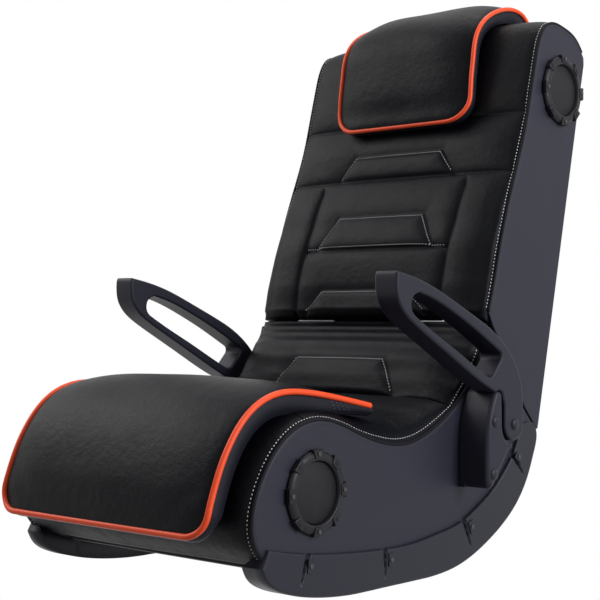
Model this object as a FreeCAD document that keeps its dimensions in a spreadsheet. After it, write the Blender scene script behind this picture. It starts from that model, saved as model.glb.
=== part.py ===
import FreeCAD, Part
import math
import os
import re

os.makedirs("parts", exist_ok=True)
doc = FreeCAD.newDocument("rocker_chair")
Vec = FreeCAD.Vector

# Sizes in millimetres and degrees
SIZES = [
    ("seam_half", 211.0),
    ("cover_step", 2.5),
    ("board_thick", 16.0),
    ("foam_edge", 14.0),
    ("seat_shell_thick", 12.0),
    ("back_shell_thick", 4.0),
    ("soft_gap", 0.3),
    ("fold_y", 181.0),
    ("fold_z", 334.0),
    ("split_angle", 51.66),
    ("split_gap", 5.0),
    ("crease_radius", 14.0),
    ("knuckle_relief", 6.5),
    ("rail_flange", 7.0),
    ("rail_lap", 11.0),
    ("rail_flat_front", -120.0),
    ("rail_flat_rear", 62.0),
    ("rail_notch_wide", 9.0),
    ("rail_notch_deep", 3.0),
    ("rail_screw_head", 3.6),
    ("rail_screw_shank", 1.7),
    ("rail_screw_long", 15.0),
    ("screw_clearance", 0.1),
    ("speaker_low_y", -186.0),
    ("speaker_low_z", 131.0),
    ("speaker_top_y", 366.0),
    ("speaker_top_z", 677.0),
    ("speaker_grille", 37.2),
    ("speaker_bezel", 49.5),
    ("speaker_tab_reach", 52.0),
    ("speaker_tab_wide", 15.0),
    ("speaker_proud", 10.5),
    ("speaker_tab_proud", 12.0),
    ("speaker_flange", 45.0),
    ("speaker_basket", 38.0),
    ("speaker_deep", 24.0),
    ("speaker_magnet", 25.0),
    ("speaker_magnet_deep", 12.0),
    ("speaker_screw_circle", 43.5),
    ("fit_gap", 0.3),
    ("arm_outer", 50.5),
    ("arm_play", 2.5),
    ("arm_pivot_y", 168.0),
    ("arm_pivot_z", 195.0),
    ("arm_shank", 22.5),
    ("arm_round", 2.5),
    ("bracket_plate", 12.0),
    ("bracket_gap", 4.0),
    ("stop_y", 131.5),
    ("stop_z", 233.0),
    ("stop_radius", 9.0),
    ("pin_radius", 5.0),
    ("pin_play", 0.05),
    ("cap_radius", 8.0),
    ("cap_high", 4.0),
    ("bolt_radius", 3.0),
    ("bolt_top_y", 122.7),
    ("bolt_top_z", 200.9),
    ("bolt_low_y", 118.7),
    ("bolt_low_z", 131.0),
    ("nut_radius", 5.8),
    ("nut_high", 6.0),
    ("hinge_start", 70.0),
    ("hinge_long", 70.0),
    ("hinge_leaf", 2.2),
    ("hinge_reach", 42.0),
    ("hinge_barrel", 4.5),
    ("hinge_pin", 2.5),
    ("hinge_play", 0.3),
    ("rear_board", 15.0),
    ("under_board", 8.0),
    ("pad_half", 186.0),
    ("pad_crown", 12.0),
    ("pad_cord", 4.0),
    ("pillow_half", 122.0),
    ("pillow_crown", 12.0),
    ("pillow_cord", 3.6),
    ("strap_half", 60.0),
    ("strap_thick", 2.5),
    ("strap_long", 104.0),
    ("strap_rise", 18.0),
    ("welt_radius", 2.2),
    ("rear_low_y", 301.0),
    ("rear_low_z", 182.0),
    ("rear_lean", 13.69),
    ("rear_panel", 3.0),
    ("rear_long", 565.0),
    ("batten_wide", 40.0),
    ("batten_thick", 12.0),
    ("sub_height", 250.0),
    ("sub_cone", 52.0),
    ("sub_flange", 62.0),
    ("sub_deep", 34.0),
    ("sub_magnet", 30.0),
    ("sub_magnet_deep", 10.0),
    ("sub_grille", 66.0),
    ("sub_grille_thick", 5.0),
    ("cover_thick", 3.0),
    ("panel_y", -40.0),
    ("panel_z", 112.0),
    ("panel_long", 104.0),
    ("panel_high", 44.0),
    ("panel_thick", 4.0),
    ("panel_edge", 6.0),
    ("volume_radius", 11.0),
    ("bass_radius", 8.5),
    ("knob_proud", 11.0),
    ("knob_shaft", 3.0),
    ("knob_shaft_long", 14.0),
    ("knob_stand", 0.5),
    ("knob_spread", 30.0),
    ("button_radius", 5.0),
    ("button_proud", 4.0),
    ("button_long", 9.0),
    ("socket_outer", 4.5),
    ("socket_inner", 2.2),
    ("socket_proud", 1.6),
    ("socket_spread", 12.0),
    ("amp_long", 166.0),
    ("amp_high", 74.0),
    ("amp_deep", 70.0),
    ("stop_pad_long", 16.0),
    ("stop_pad_half", 30.0),
    ("stop_pad_at", 158.0),
]

sheet = doc.addObject("Spreadsheet::Sheet", "Sizes")
for row, (alias, value) in enumerate(SIZES, start=1):
    sheet.set("A%d" % row, alias)
    sheet.set("B%d" % row, str(value))
    sheet.setAlias("B%d" % row, alias)
doc.recompute()


def val(alias):
    return float(sheet.get(alias))


ALIASES = sorted((alias for alias, value in SIZES), key=len, reverse=True)
PATTERN = re.compile(r"\b(" + "|".join(ALIASES) + r")\b")
nodes = {}


def bind(obj, prop, text):
    obj.setExpression(prop, PATTERN.sub(r"Sizes.\1", text))


def place(obj, where, turn=None):
    if turn is not None:
        obj.Placement = FreeCAD.Placement(Vec(0, 0, 0), turn)
    for name, text in zip(("x", "y", "z"), where):
        bind(obj, "Placement.Base." + name, str(text))


def block(name, lengths, corner, turn=None):
    obj = doc.addObject("Part::Box", name)
    for prop, text in zip(("Length", "Width", "Height"), lengths):
        bind(obj, prop, str(text))
    place(obj, corner, turn)
    return obj


SIDEWAYS = FreeCAD.Rotation(Vec(0, 1, 0), 90)


def rod(name, radius, length, start, turn=SIDEWAYS):
    obj = doc.addObject("Part::Cylinder", name)
    bind(obj, "Radius", str(radius))
    bind(obj, "Height", str(length))
    place(obj, start, turn)
    return obj


def taper(name, radius_low, radius_high, length, start, turn=SIDEWAYS):
    obj = doc.addObject("Part::Cone", name)
    bind(obj, "Radius1", str(radius_low))
    bind(obj, "Radius2", str(radius_high))
    bind(obj, "Height", str(length))
    place(obj, start, turn)
    return obj


def cut(name, base, tool):
    obj = doc.addObject("Part::Cut", name)
    obj.Base = base
    obj.Tool = tool
    return obj


def join(name, items):
    obj = doc.addObject("Part::MultiFuse", name)
    obj.Shapes = items
    return obj


def group(name, items):
    obj = doc.addObject("Part::Compound", name)
    obj.Links = items
    return obj


def mirror(name, source):
    obj = doc.addObject("Part::Mirroring", name)
    obj.Source = source
    obj.Base = Vec(0, 0, 0)
    obj.Normal = Vec(1, 0, 0)
    return obj


def solid_of(shape):
    solids = shape.Solids
    if len(solids) == 1:
        return solids[0]
    return Part.makeCompound(solids)


def feature(name, shape):
    obj = doc.addObject("Part::Feature", name)
    body = solid_of(shape)
    obj.Shape = body
    obj.Placement = body.Placement
    return obj


def node(label, obj):
    obj.Label = label
    nodes[label] = obj
    return obj


# Derived places shared by many pieces
half = val("seam_half")
face = half + val("cover_step")
board_in = face - val("board_thick")
edge = val("foam_edge")
soft = val("soft_gap")
FOLD = Vec(0, val("fold_y"), val("fold_z"))
split = math.radians(val("split_angle"))
ALONG = Vec(0, math.cos(split), -math.sin(split))
ACROSS = Vec(0, math.sin(split), math.cos(split))
FACE = "(seam_half+cover_step)"
BOARD_IN = "(seam_half+cover_step-board_thick)"


def spline(points, start=None, end=None):
    curve = Part.BSplineCurve()
    data = [Vec(0, y, z) for y, z in points]
    if start is None and end is None:
        curve.interpolate(Points=data)
        return curve
    first = data[1] - data[0] if start is None else Vec(0, start[0], start[1])
    last = data[-1] - data[-2] if end is None else Vec(0, end[0], end[1])
    first.normalize()
    last.normalize()
    curve.interpolate(Points=data, InitialTangent=first, FinalTangent=last)
    return curve


class Path:
    """A side outline sampled by length, with its outward normals."""

    def __init__(self, points, samples=241):
        curve = spline(points)
        self.points = curve.toShape().discretize(Number=samples)
        self.count = samples
        self.normals = []
        for i in range(samples):
            ahead = self.points[min(i + 1, samples - 1)]
            behind = self.points[max(i - 1, 0)]
            step = ahead - behind
            step.normalize()
            self.normals.append(Vec(0, -step.z, step.y))
        self.length = curve.length()

    def at(self, fraction):
        spot = min(max(fraction, 0.0), 1.0) * (self.count - 1)
        low = min(int(spot), self.count - 2)
        share = spot - low
        point = self.points[low] * (1 - share) + self.points[low + 1] * share
        normal = self.normals[low] * (1 - share) + self.normals[low + 1] * share
        normal.normalize()
        return point, normal

    def nearest(self, y, z):
        target = Vec(0, y, z)
        best = min(range(self.count), key=lambda i: (self.points[i] - target).Length)
        return best / (self.count - 1)

    def shifted(self, distance, start=0.0, end=1.0, number=61):
        out = []
        for i in range(number):
            point, normal = self.at(start + (end - start) * i / (number - 1))
            spot = point + normal * distance
            out.append((spot.y, spot.z))
        return out


# Side outlines, forward is minus Y and up is plus Z
BASE_SEAM = [(-268, 54), (-288, 80), (-291, 112), (-279, 147), (-250, 187), (-208, 213), (-165, 217),
             (-110, 200), (-50, 181), (0, 178), (48, 192), (97, 219), (135, 253), (160, 290), (175, 330),
             (180, 352)]
BACK_SEAM = [(170, 312), (176, 336), (190, 379), (205, 430), (227, 496), (250, 553), (272, 610), (288, 667),
             (301, 715), (313, 750), (327, 768), (347, 775), (377, 772), (407, 762), (427, 744),
             (439, 725), (444, 704)]
RAIL_TOP = [(-269, 73), (-229, 65), (-156, 55), (-66, 49), (0, 49), (53, 55), (113, 67), (142, 80),
            (178, 99), (209, 124), (240, 162), (254, 187)]
BOARD_BOTTOM = [(-262, 54), (-225, 37), (-167, 27), (-75, 21), (22, 24), (73, 31), (125, 43), (179, 63),
                (215, 84), (245, 111), (260, 137), (267, 160), (269, 178)]
RAIL_NOSE = [(-281, 52), (-273, 37), (-250, 22), (-213, 11), (-165, 3.5)]
RAIL_HEEL = [(100, 7), (130, 17), (179, 37), (222, 60), (254, 86), (272, 113), (281, 140), (283, 166)]

base_path = Path(BASE_SEAM)
back_path = Path(BACK_SEAM)


def prism(outline_edges, low, high):
    wire = Part.Wire(Part.__sortEdges__(outline_edges))
    plate = Part.Face(wire)
    plate.translate(Vec(low, 0, 0))
    return plate.extrude(Vec(high - low, 0, 0))


def line(a, b):
    return Part.makeLine(Vec(0, a[0], a[1]), Vec(0, b[0], b[1]))


def arc(a, middle, b):
    return Part.Arc(Vec(0, a[0], a[1]), Vec(0, middle[0], middle[1]), Vec(0, b[0], b[1])).toShape()


def slab(centre, along, across, reach, side, wide):
    """A long block on one side of a plane through centre, used to cut at the fold."""
    corner = centre - along * reach
    points = [corner, corner + along * (2 * reach)]
    points.append(points[1] + across * (side * reach))
    points.append(points[0] + across * (side * reach))
    points.append(points[0])
    sheet_face = Part.Face(Part.makePolygon(points))
    sheet_face.translate(Vec(-wide, 0, 0))
    return sheet_face.extrude(Vec(2 * wide, 0, 0))


def bar(radius, wide=300.0):
    return Part.makeCylinder(radius, 2 * wide, Vec(-wide, FOLD.y, FOLD.z), Vec(1, 0, 0))


gap = val("split_gap")
ABOVE = slab(FOLD - ACROSS * (gap / 2), ALONG, ACROSS, 600.0, 1.0, 300.0)
BELOW = slab(FOLD + ACROSS * (gap / 2), ALONG, ACROSS, 600.0, -1.0, 300.0)
KNUCKLE = bar(val("knuckle_relief"))
CREASE = bar(val("crease_radius"))


def keep_base(shape, relief):
    return shape.cut(ABOVE).cut(relief)


def keep_back(shape):
    return shape.cut(BELOW).cut(KNUCKLE)


# Soft forms: one skin over a plain bottom
def round_off(t, power):
    return math.sqrt(max(0.0, 1.0 - abs(t) ** power))


def blend_table(table, x):
    if x <= table[0][0]:
        return table[0][1]
    for (x0, y0), (x1, y1) in zip(table, table[1:]):
        if x <= x1:
            share = (x - x0) / (x1 - x0)
            share = share * share * (3 - 2 * share)
            return y0 + (y1 - y0) * share
    return table[-1][1]


def crown_shape(t):
    return (1.0 - abs(t) ** 12) * (0.85 + 0.15 * (1.0 - t * t))


def columns(number):
    out = []
    for i in range(number):
        linear = -1.0 + 2.0 * i / (number - 1)
        out.append(0.75 * linear + 0.25 * math.sin(linear * math.pi / 2))
    return out


def ruled(one, two):
    """The untwisted of the two ruled faces between two curves."""
    tries = []
    for turned in (False, True):
        other = two.copy()
        if turned:
            other.reverse()
        tries.append(Part.makeRuledSurface(one.toShape(), other.toShape()))
    return min(tries, key=lambda item: sum(piece.Length for piece in item.Edges))


def skin_solid(top, bottom):
    """A closed solid from two point grids with the same rows and columns."""
    surface_top = Part.BSplineSurface()
    surface_top.interpolate(top)
    surface_bottom = Part.BSplineSurface()
    surface_bottom.interpolate(bottom)
    faces = [surface_top.toShape(), surface_bottom.toShape()]
    pairs = []
    u0, u1, v0, v1 = surface_top.bounds()
    w0, w1, x0, x1 = surface_bottom.bounds()
    pairs.append((surface_top.uIso(u0), surface_bottom.uIso(w0)))
    pairs.append((surface_top.uIso(u1), surface_bottom.uIso(w1)))
    pairs.append((surface_top.vIso(v0), surface_bottom.vIso(x0)))
    pairs.append((surface_top.vIso(v1), surface_bottom.vIso(x1)))
    for one, two in pairs:
        faces.append(ruled(one, two))
    shell = Part.Shell(faces)
    shell.sewShape()
    shell = Part.Shell(shell.Faces)
    body = Part.Solid(shell)
    if body.Volume < 0:
        body.reverse()
    return body


def cushion(path, start, end, crown_table, detail, rows=28, cols=25, ends=(1.0, 1.0), seat_gap=soft):
    """A pad along a side outline: full width, crowned, with drawn-in sides and ends."""
    top = []
    bottom = []
    for i in range(rows):
        linear = -1.0 + 2.0 * i / (rows - 1)
        w = 0.6 * linear + 0.4 * math.sin(linear * math.pi / 2)
        s = start + (end - start) * (w + 1) / 2
        point, normal = path.at(s)
        crown = blend_table(crown_table, s * path.length)
        draw = ends[0] if w < 0 else ends[1]
        tip = 1.0 - draw * (1.0 - round_off(w, 14))
        row_top = []
        row_bottom = []
        for t in columns(cols):
            lift = -edge * 0.8 * (1.0 - (1.0 - abs(t) ** 16) * (0.35 + 0.65 * tip))
            shape = crown * crown_shape(t) + detail(s * path.length, t * half) * (1.0 - abs(t) ** 8)
            lift += shape * (0.25 + 0.75 * tip)
            spot = point + normal * lift
            row_top.append(Vec(t * half, spot.y, spot.z))
            under = point - normal * (edge - seat_gap)
            row_bottom.append(Vec(t * half, under.y, under.z))
        top.append(row_top)
        bottom.append(row_bottom)
    return skin_solid(top, bottom)


def groove(distance, depth, wide):
    return -depth * math.exp(-(distance / wide) ** 2)


def trapezoid(s, x, s_top, s_low, half_top, half_low, lift):
    """A raised stitched panel that widens from s_top down to s_low."""
    share = (s - s_low) / (s_top - s_low)
    wide = half_low + (half_top - half_low) * share
    rise = lift
    for inside in (s_top - s, s - s_low, (wide - abs(x)) * 0.9):
        rise *= 1.0 / (1.0 + math.exp(-(inside - 4.0) / 4.0))
    return rise


# Lengths along the seat outline
def base_length(y, z):
    return base_path.nearest(y, z) * base_path.length


def back_length(y, z):
    return back_path.nearest(y, z) * back_path.length


s_roll = base_path.nearest(-196, 216)
s_seat = base_path.nearest(108, 227)
seat_low = base_length(116, 235)
seat_high = base_length(150, 272)
BASE_CROWN = [(0.0, 4.0), (base_length(-291, 112), 12.0), (base_length(-208, 213), 12.0),
              (base_length(-165, 217), 14.0), (base_length(-110, 200), 24.0), (base_length(-50, 181), 35.0),
              (base_length(0, 178), 36.0), (base_length(48, 192), 31.0), (base_length(97, 219), 24.0),
              (base_length(120, 238), 24.0), (base_length(143, 262), 34.0), (base_length(160, 290), 23.0),
              (base_length(173, 322), 4.0)]


def seat_detail(s, x):
    return 0.0


def lumbar_detail(s, x):
    return trapezoid(s, x, seat_high, seat_low - 6.0, 85.0, 110.0, 7.0)


roll = cushion(base_path, 0.0, s_roll, BASE_CROWN, seat_detail, rows=20, ends=(1.0, 0.3))
seat = cushion(base_path, s_roll, s_seat, BASE_CROWN, seat_detail, rows=24, ends=(0.3, 0.7))
lumbar = cushion(base_path, s_seat, 1.0, BASE_CROWN, lumbar_detail, rows=28, cols=41, ends=(0.7, 0.0))
lumbar = keep_base(lumbar, CREASE)
node("front_roll", feature("FrontRoll", roll))
node("seat_cushion", feature("SeatCushion", seat))
node("lumbar_cushion", feature("LumbarCushion", lumbar))

# Backrest cushion with its cross seams, centre panel and raised panels
z_first = back_length(281, 637)
z_second = back_length(247, 548)
z_mid = back_length(207, 436)
BACK_CROWN = [(0.0, 4.0), (back_length(178, 342), 4.0), (back_length(190, 379), 22.0),
              (back_length(205, 430), 27.0), (back_length(222, 484), 21.0), (back_length(247, 548), 14.0),
              (back_length(262, 585), 13.0), (back_length(281, 637), 10.0), (back_length(301, 715), 9.0),
              (back_length(327, 768), 7.0), (back_length(377, 772), 7.0), (back_length(427, 744), 3.0)]


def back_detail(s, x):
    total = groove(s - z_first, 8.0, 9.0) + groove(s - z_second, 9.0, 9.0)
    if s < z_second:
        fade = 1.0 - math.exp(-((z_second - s) / 14.0) ** 2)
        for centre in (-138.0, 138.0):
            total += groove(x - centre, 8.0, 9.0) * fade
    inner = 1.0 / (1.0 + math.exp((abs(x) - 132.0) / 5.0))
    total += groove(s - z_mid, 7.0, 9.0) * inner
    total += trapezoid(s, x, z_second + 44.0, z_second + 3.0, 83.0, 111.0, 7.0)
    total += trapezoid(s, x, z_mid + 51.0, z_mid + 3.0, 81.0, 111.0, 8.0)
    low = back_length(188, 372) + 2.0
    total += trapezoid(s, x, low, low - 40.0, 82.0, 110.0, 6.0)
    return total


back_soft = cushion(back_path, 0.0, 1.0, BACK_CROWN, back_detail, rows=80, cols=61, ends=(0.0, 0.0),
                    seat_gap=2 * soft)

# Bent panels under the cushions
def panel_between(path, outer, inner, low, high):
    outer_curve = spline(path.shifted(outer)).toShape()
    inner_curve = spline(path.shifted(inner)).toShape()
    a, b = path.shifted(outer)[0], path.shifted(inner)[0]
    c, d = path.shifted(outer)[-1], path.shifted(inner)[-1]
    return prism([outer_curve, inner_curve, line(a, b), line(c, d)], low, high)


seat_shell = panel_between(base_path, -edge, -edge - val("seat_shell_thick"), -board_in, board_in)
seat_shell = keep_base(seat_shell, KNUCKLE)
rear_board_cut = slab(FOLD - ACROSS * (gap / 2 + val("rear_board")), ALONG, ACROSS, 600.0, 1.0, 300.0)
seat_shell = seat_shell.cut(rear_board_cut)
for y, z in ((val("bolt_top_y"), val("bolt_top_z")), (val("bolt_low_y"), val("bolt_low_z"))):
    for side in (-1.0, 1.0):
        seat_shell = seat_shell.cut(Part.makeCylinder(val("nut_radius") + 1.0, 20.0, Vec(side * board_in, y, z),
                                                      Vec(-side, 0, 0)))
node("seat_shell", feature("SeatShell", seat_shell))

back_shell = panel_between(back_path, -edge, -edge - val("back_shell_thick"), -board_in, board_in)
under_cut = slab(FOLD + ACROSS * (gap / 2 + val("under_board")), ALONG, ACROSS, 600.0, -1.0, 300.0)
back_shell = back_shell.cut(under_cut).cut(KNUCKLE)


# Side boards of the seat unit
def base_board_shape(low, high):
    top = base_path.shifted(-edge)
    top_curve = spline(top).toShape()
    bottom_curve = spline(BOARD_BOTTOM).toShape()
    heel = BOARD_BOTTOM[-1]
    edges = [top_curve, bottom_curve, line(top[0], BOARD_BOTTOM[0])]
    edges += [line(heel, (282, 190)), line((282, 190), (330, 210)), line((330, 210), (330, 330)),
              line((330, 330), top[-1])]
    return keep_base(prism(edges, low, high), KNUCKLE)


def rod_shape(radius, low, high, y, z):
    return Part.makeCylinder(radius, high - low, Vec(low, y, z), Vec(1, 0, 0))


# Where the rail screws and notches go: centre, slope and reach of each notch
rail_path = Path([(-250, 45), (-190, 36), (-100, 27), (0, 27), (90, 37), (170, 66), (225, 105), (262, 160)])
NOTCHES = [0.07, 0.345, 0.665, 0.935]
shank = val("rail_screw_shank")
screw_spots = []
notch_spots = []
for share in NOTCHES:
    spot, normal = rail_path.at(share)
    notch_spots.append((spot, normal))
    ahead = Vec(0, normal.z, -normal.y)
    screw_spots.append(spot + ahead * (val("rail_notch_wide") * 1.1) + normal * 1.0)

pivot = (val("arm_pivot_y"), val("arm_pivot_z"))
bolts = [(val("bolt_top_y"), val("bolt_top_z")), (val("bolt_low_y"), val("bolt_low_z"))]
low_speaker = (val("speaker_low_y"), val("speaker_low_z"))
top_speaker = (val("speaker_top_y"), val("speaker_top_z"))
fit = val("fit_gap")
clear = val("screw_clearance")


def speaker_screw_spots(centre):
    reach = val("speaker_screw_circle") + 4.0
    spots = []
    for quarter in range(4):
        turn = math.radians(90 * quarter)
        spots.append((centre[0] + reach * math.cos(turn), centre[1] + reach * math.sin(turn)))
    return spots


def speaker_holes(centre):
    holes = [rod_shape(val("speaker_basket") + 1.0, board_in - 5, face + 5, centre[0], centre[1])]
    for y, z in speaker_screw_spots(centre):
        holes.append(rod_shape(1.6, board_in - 5, face + 5, y, z))
    return holes


base_board = base_board_shape(board_in, face)
holes = speaker_holes(low_speaker)
for spot in screw_spots:
    holes.append(rod_shape(shank + clear, board_in - 5, face + 20, spot.y, spot.z))
for y, z in bolts:
    holes.append(rod_shape(val("bolt_radius") + clear, board_in - 5, face + 5, y, z))
holes.append(rod_shape(val("pin_radius") + val("pin_play"), board_in - 5, face + 5, pivot[0], pivot[1]))
for hole in holes:
    base_board = base_board.cut(hole)
node("base_side_left", feature("BaseSideLeft", base_board))

right_board = base_board.mirror(Vec(0, 0, 0), Vec(1, 0, 0))
window_long = val("panel_long") - 2 * val("panel_edge")
window_high = val("panel_high") - 2 * val("panel_edge")
window = Part.makeBox(val("board_thick") + 10, window_long, window_high,
                      Vec(-face - 5, val("panel_y") - window_long / 2, val("panel_z") - window_high / 2))
right_board = right_board.cut(window)
node("base_side_right", feature("BaseSideRight", right_board))

# Rocker rails with their notches and screws
flat_front = (val("rail_flat_front"), 0.0)
flat_rear = (val("rail_flat_rear"), 0.0)
rail_out = face + val("rail_flange")
rail_in = board_in - val("rail_lap")
nose = spline(RAIL_NOSE + [flat_front], end=(1, 0)).toShape()
heel = spline([flat_rear] + RAIL_HEEL, start=(1, 0)).toShape()
ground = line(flat_front, flat_rear)
tail = RAIL_HEEL[-1]
foot = prism([nose, ground, heel, spline(BOARD_BOTTOM).toShape(), line(RAIL_NOSE[0], BOARD_BOTTOM[0]),
              line(tail, BOARD_BOTTOM[-1])], rail_in, rail_out)
flange = prism([nose, ground, heel, spline(RAIL_TOP).toShape(), line(RAIL_NOSE[0], RAIL_TOP[0]),
                line(tail, (278, 178)), line((278, 178), RAIL_TOP[-1])], face, rail_out)
rail = foot.fuse(flange).removeSplitter()
for spot, normal in notch_spots:
    wide = val("rail_notch_wide")
    notch = Part.makeBox(val("rail_notch_deep") + 5, wide, 90.0, Vec(0, -wide / 2, -45.0))
    lean = math.degrees(math.atan2(-normal.y, normal.z))
    notch.rotate(Vec(0, 0, 0), Vec(1, 0, 0), lean)
    notch.translate(Vec(rail_out - val("rail_notch_deep"), spot.y, spot.z))
    rail = rail.cut(notch)
for spot in screw_spots:
    rail = rail.cut(rod_shape(shank + clear, board_in - 5, rail_out + 5, spot.y, spot.z))
node("rail_left", feature("RailLeft", rail))
node("rail_right", mirror("RailRight", nodes["rail_left"]))

rail_screws = []
for spot in screw_spots:
    stem = rod_shape(shank, rail_out + 0.1 - val("rail_screw_long"), rail_out + 0.1, spot.y, spot.z)
    head = rod_shape(val("rail_screw_head"), rail_out, rail_out + 1.6, spot.y, spot.z)
    screw = stem.fuse(head).removeSplitter()
    rail_screws += [screw, screw.mirror(Vec(0, 0, 0), Vec(1, 0, 0))]
node("rail_screws", feature("RailScrews", Part.makeCompound(rail_screws)))

# Boards at the fold
def board_on_split(offset, thick, side, low_reach, wide):
    start = FOLD + ALONG * low_reach + ACROSS * (side * offset)
    end = FOLD + ALONG * 196.0 + ACROSS * (side * offset)
    points = [start, end, end + ACROSS * (side * thick), start + ACROSS * (side * thick), start]
    plate = Part.Face(Part.makePolygon(points))
    plate.translate(Vec(-wide, 0, 0))
    return plate.extrude(Vec(2 * wide, 0, 0))


front_limit = prism([spline(base_path.shifted(-edge)).toShape(),
                     line(base_path.shifted(-edge)[0], (-400, 60)), line((-400, 60), (-400, 500)),
                     line((-400, 500), base_path.shifted(-edge)[-1])], -300, 300)
rear_plate = board_on_split(gap / 2, val("rear_board"), -1.0, 0.0, board_in)
rear_plate = rear_plate.cut(front_limit).cut(KNUCKLE)
bottom_limit = prism([spline(BOARD_BOTTOM).toShape(), line(BOARD_BOTTOM[0], (-262, -60)),
                      line((-262, -60), (400, -60)), line((400, -60), (400, 190)),
                      line((400, 190), (282, 190)), line((282, 190), BOARD_BOTTOM[-1])], -300, 300)
rear_plate = rear_plate.cut(bottom_limit)
node("base_rear_board", feature("BaseRearBoard", rear_plate))

rear_along = Vec(0, math.sin(math.radians(val("rear_lean"))), math.cos(math.radians(val("rear_lean"))))
rear_out = Vec(0, rear_along.z, -rear_along.y)
REAR_LOW = Vec(0, val("rear_low_y"), val("rear_low_z"))
rear_limit = slab(REAR_LOW, rear_along, rear_out, 900.0, 1.0, 300.0)
back_front_edge = back_path.shifted(-edge)
back_front_limit = prism([spline(back_front_edge).toShape(), line(back_front_edge[0], (-100, 300)),
                          line((-100, 300), (-100, 900)), line((-100, 900), (500, 900)),
                          line((500, 900), back_front_edge[-1])], -300, 300)
under_plate = board_on_split(gap / 2, val("under_board"), 1.0, 0.0, board_in)
under_plate = under_plate.cut(back_front_limit).cut(KNUCKLE).cut(rear_limit)
node("back_under_board", feature("BackUnderBoard", under_plate))
back_shell = back_shell.cut(rear_limit)
node("back_shell", feature("BackShell", back_shell))
node("back_cushion", feature("BackCushion", keep_back(back_soft).cut(rear_limit)))


# Side boards of the backrest
def back_board_shape(low, high):
    top_curve = spline(back_front_edge).toShape()
    first, last = back_front_edge[0], back_front_edge[-1]
    edges = [top_curve, line(last, (460, 680)), line((460, 680), (460, 60)), line((460, 60), (first[0], 60)),
             line((first[0], 60), first)]
    return prism(edges, low, high).cut(BELOW).cut(KNUCKLE).cut(rear_limit)


back_board = back_board_shape(board_in, face)
for hole in speaker_holes(top_speaker):
    back_board = back_board.cut(hole)
node("back_side_left", feature("BackSideLeft", back_board))
node("back_side_right", mirror("BackSideRight", nodes["back_side_left"]))

# Pieces square to the sloping rear of the backrest
LEAN = FreeCAD.Rotation(Vec(1, 0, 0), -val("rear_lean"))


def on_rear(shape):
    shape.Placement = FreeCAD.Placement(REAR_LOW, LEAN)
    moved = shape.copy()
    moved.Placement = FreeCAD.Placement()
    return moved.transformGeometry(FreeCAD.Placement(REAR_LOW, LEAN).toMatrix())


def rear_box(x0, x1, y0, y1, z0, z1):
    box = Part.makeBox(x1 - x0, y1 - y0, z1 - z0, Vec(x0, y0, z0))
    box.Placement = FreeCAD.Placement(REAR_LOW, LEAN).multiply(box.Placement)
    return box


def rear_rod(radius, y0, y1, z, x=0.0):
    pin = Part.makeCylinder(radius, y1 - y0, Vec(x, y0, z), Vec(0, 1, 0))
    pin.Placement = FreeCAD.Placement(REAR_LOW, LEAN).multiply(pin.Placement)
    return pin


def rear_cone(r0, r1, y0, y1, z):
    cone = Part.makeCone(r0, r1, y1 - y0, Vec(0, y0, z), Vec(0, 1, 0))
    cone.Placement = FreeCAD.Placement(REAR_LOW, LEAN).multiply(cone.Placement)
    return cone


panel_thick = val("rear_panel")
sub_z = val("sub_height")
rear_cover = rear_box(-half, half, 0.0, panel_thick, 3.0, val("rear_long"))
rear_cover = rear_cover.cut(rear_rod(val("sub_cone"), -5.0, panel_thick + 5, sub_z))
node("back_rear_panel", feature("BackRearPanel", rear_cover))
batten = rear_box(-board_in, board_in, -val("batten_thick"), 0.0, 400.0, 400.0 + val("batten_wide"))
lower_batten = rear_box(-board_in, board_in, -val("batten_thick"), 0.0, 110.0, 110.0 + val("batten_wide"))
node("back_battens", feature("BackBattens", Part.makeCompound([batten, lower_batten])))

sub_body = rear_rod(val("sub_flange"), -3.0, 0.0, sub_z)
sub_body = sub_body.cut(rear_rod(val("sub_cone") - 2, -4.0, 1.0, sub_z))
sub_deep = val("sub_deep")
sub_cone = rear_cone(val("sub_magnet") - 6, val("sub_cone"), -sub_deep, 0.0, sub_z)
sub_hollow = rear_cone(val("sub_magnet") - 8, val("sub_cone") - 2, -sub_deep + 2, 0.1, sub_z)
sub_magnet = rear_rod(val("sub_magnet"), -sub_deep - val("sub_magnet_deep"), -sub_deep, sub_z)
sub_body = sub_body.fuse([sub_cone.cut(sub_hollow), sub_magnet]).removeSplitter()
node("subwoofer_driver", feature("SubwooferDriver", sub_body))
sub_cover = rear_rod(val("sub_grille"), panel_thick, panel_thick + val("sub_grille_thick"), sub_z)
sub_cover = sub_cover.cut(rear_rod(val("sub_grille") - 6, panel_thick - 1, panel_thick + 2, sub_z))
node("subwoofer_grille", feature("SubwooferGrille", sub_cover))


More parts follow.
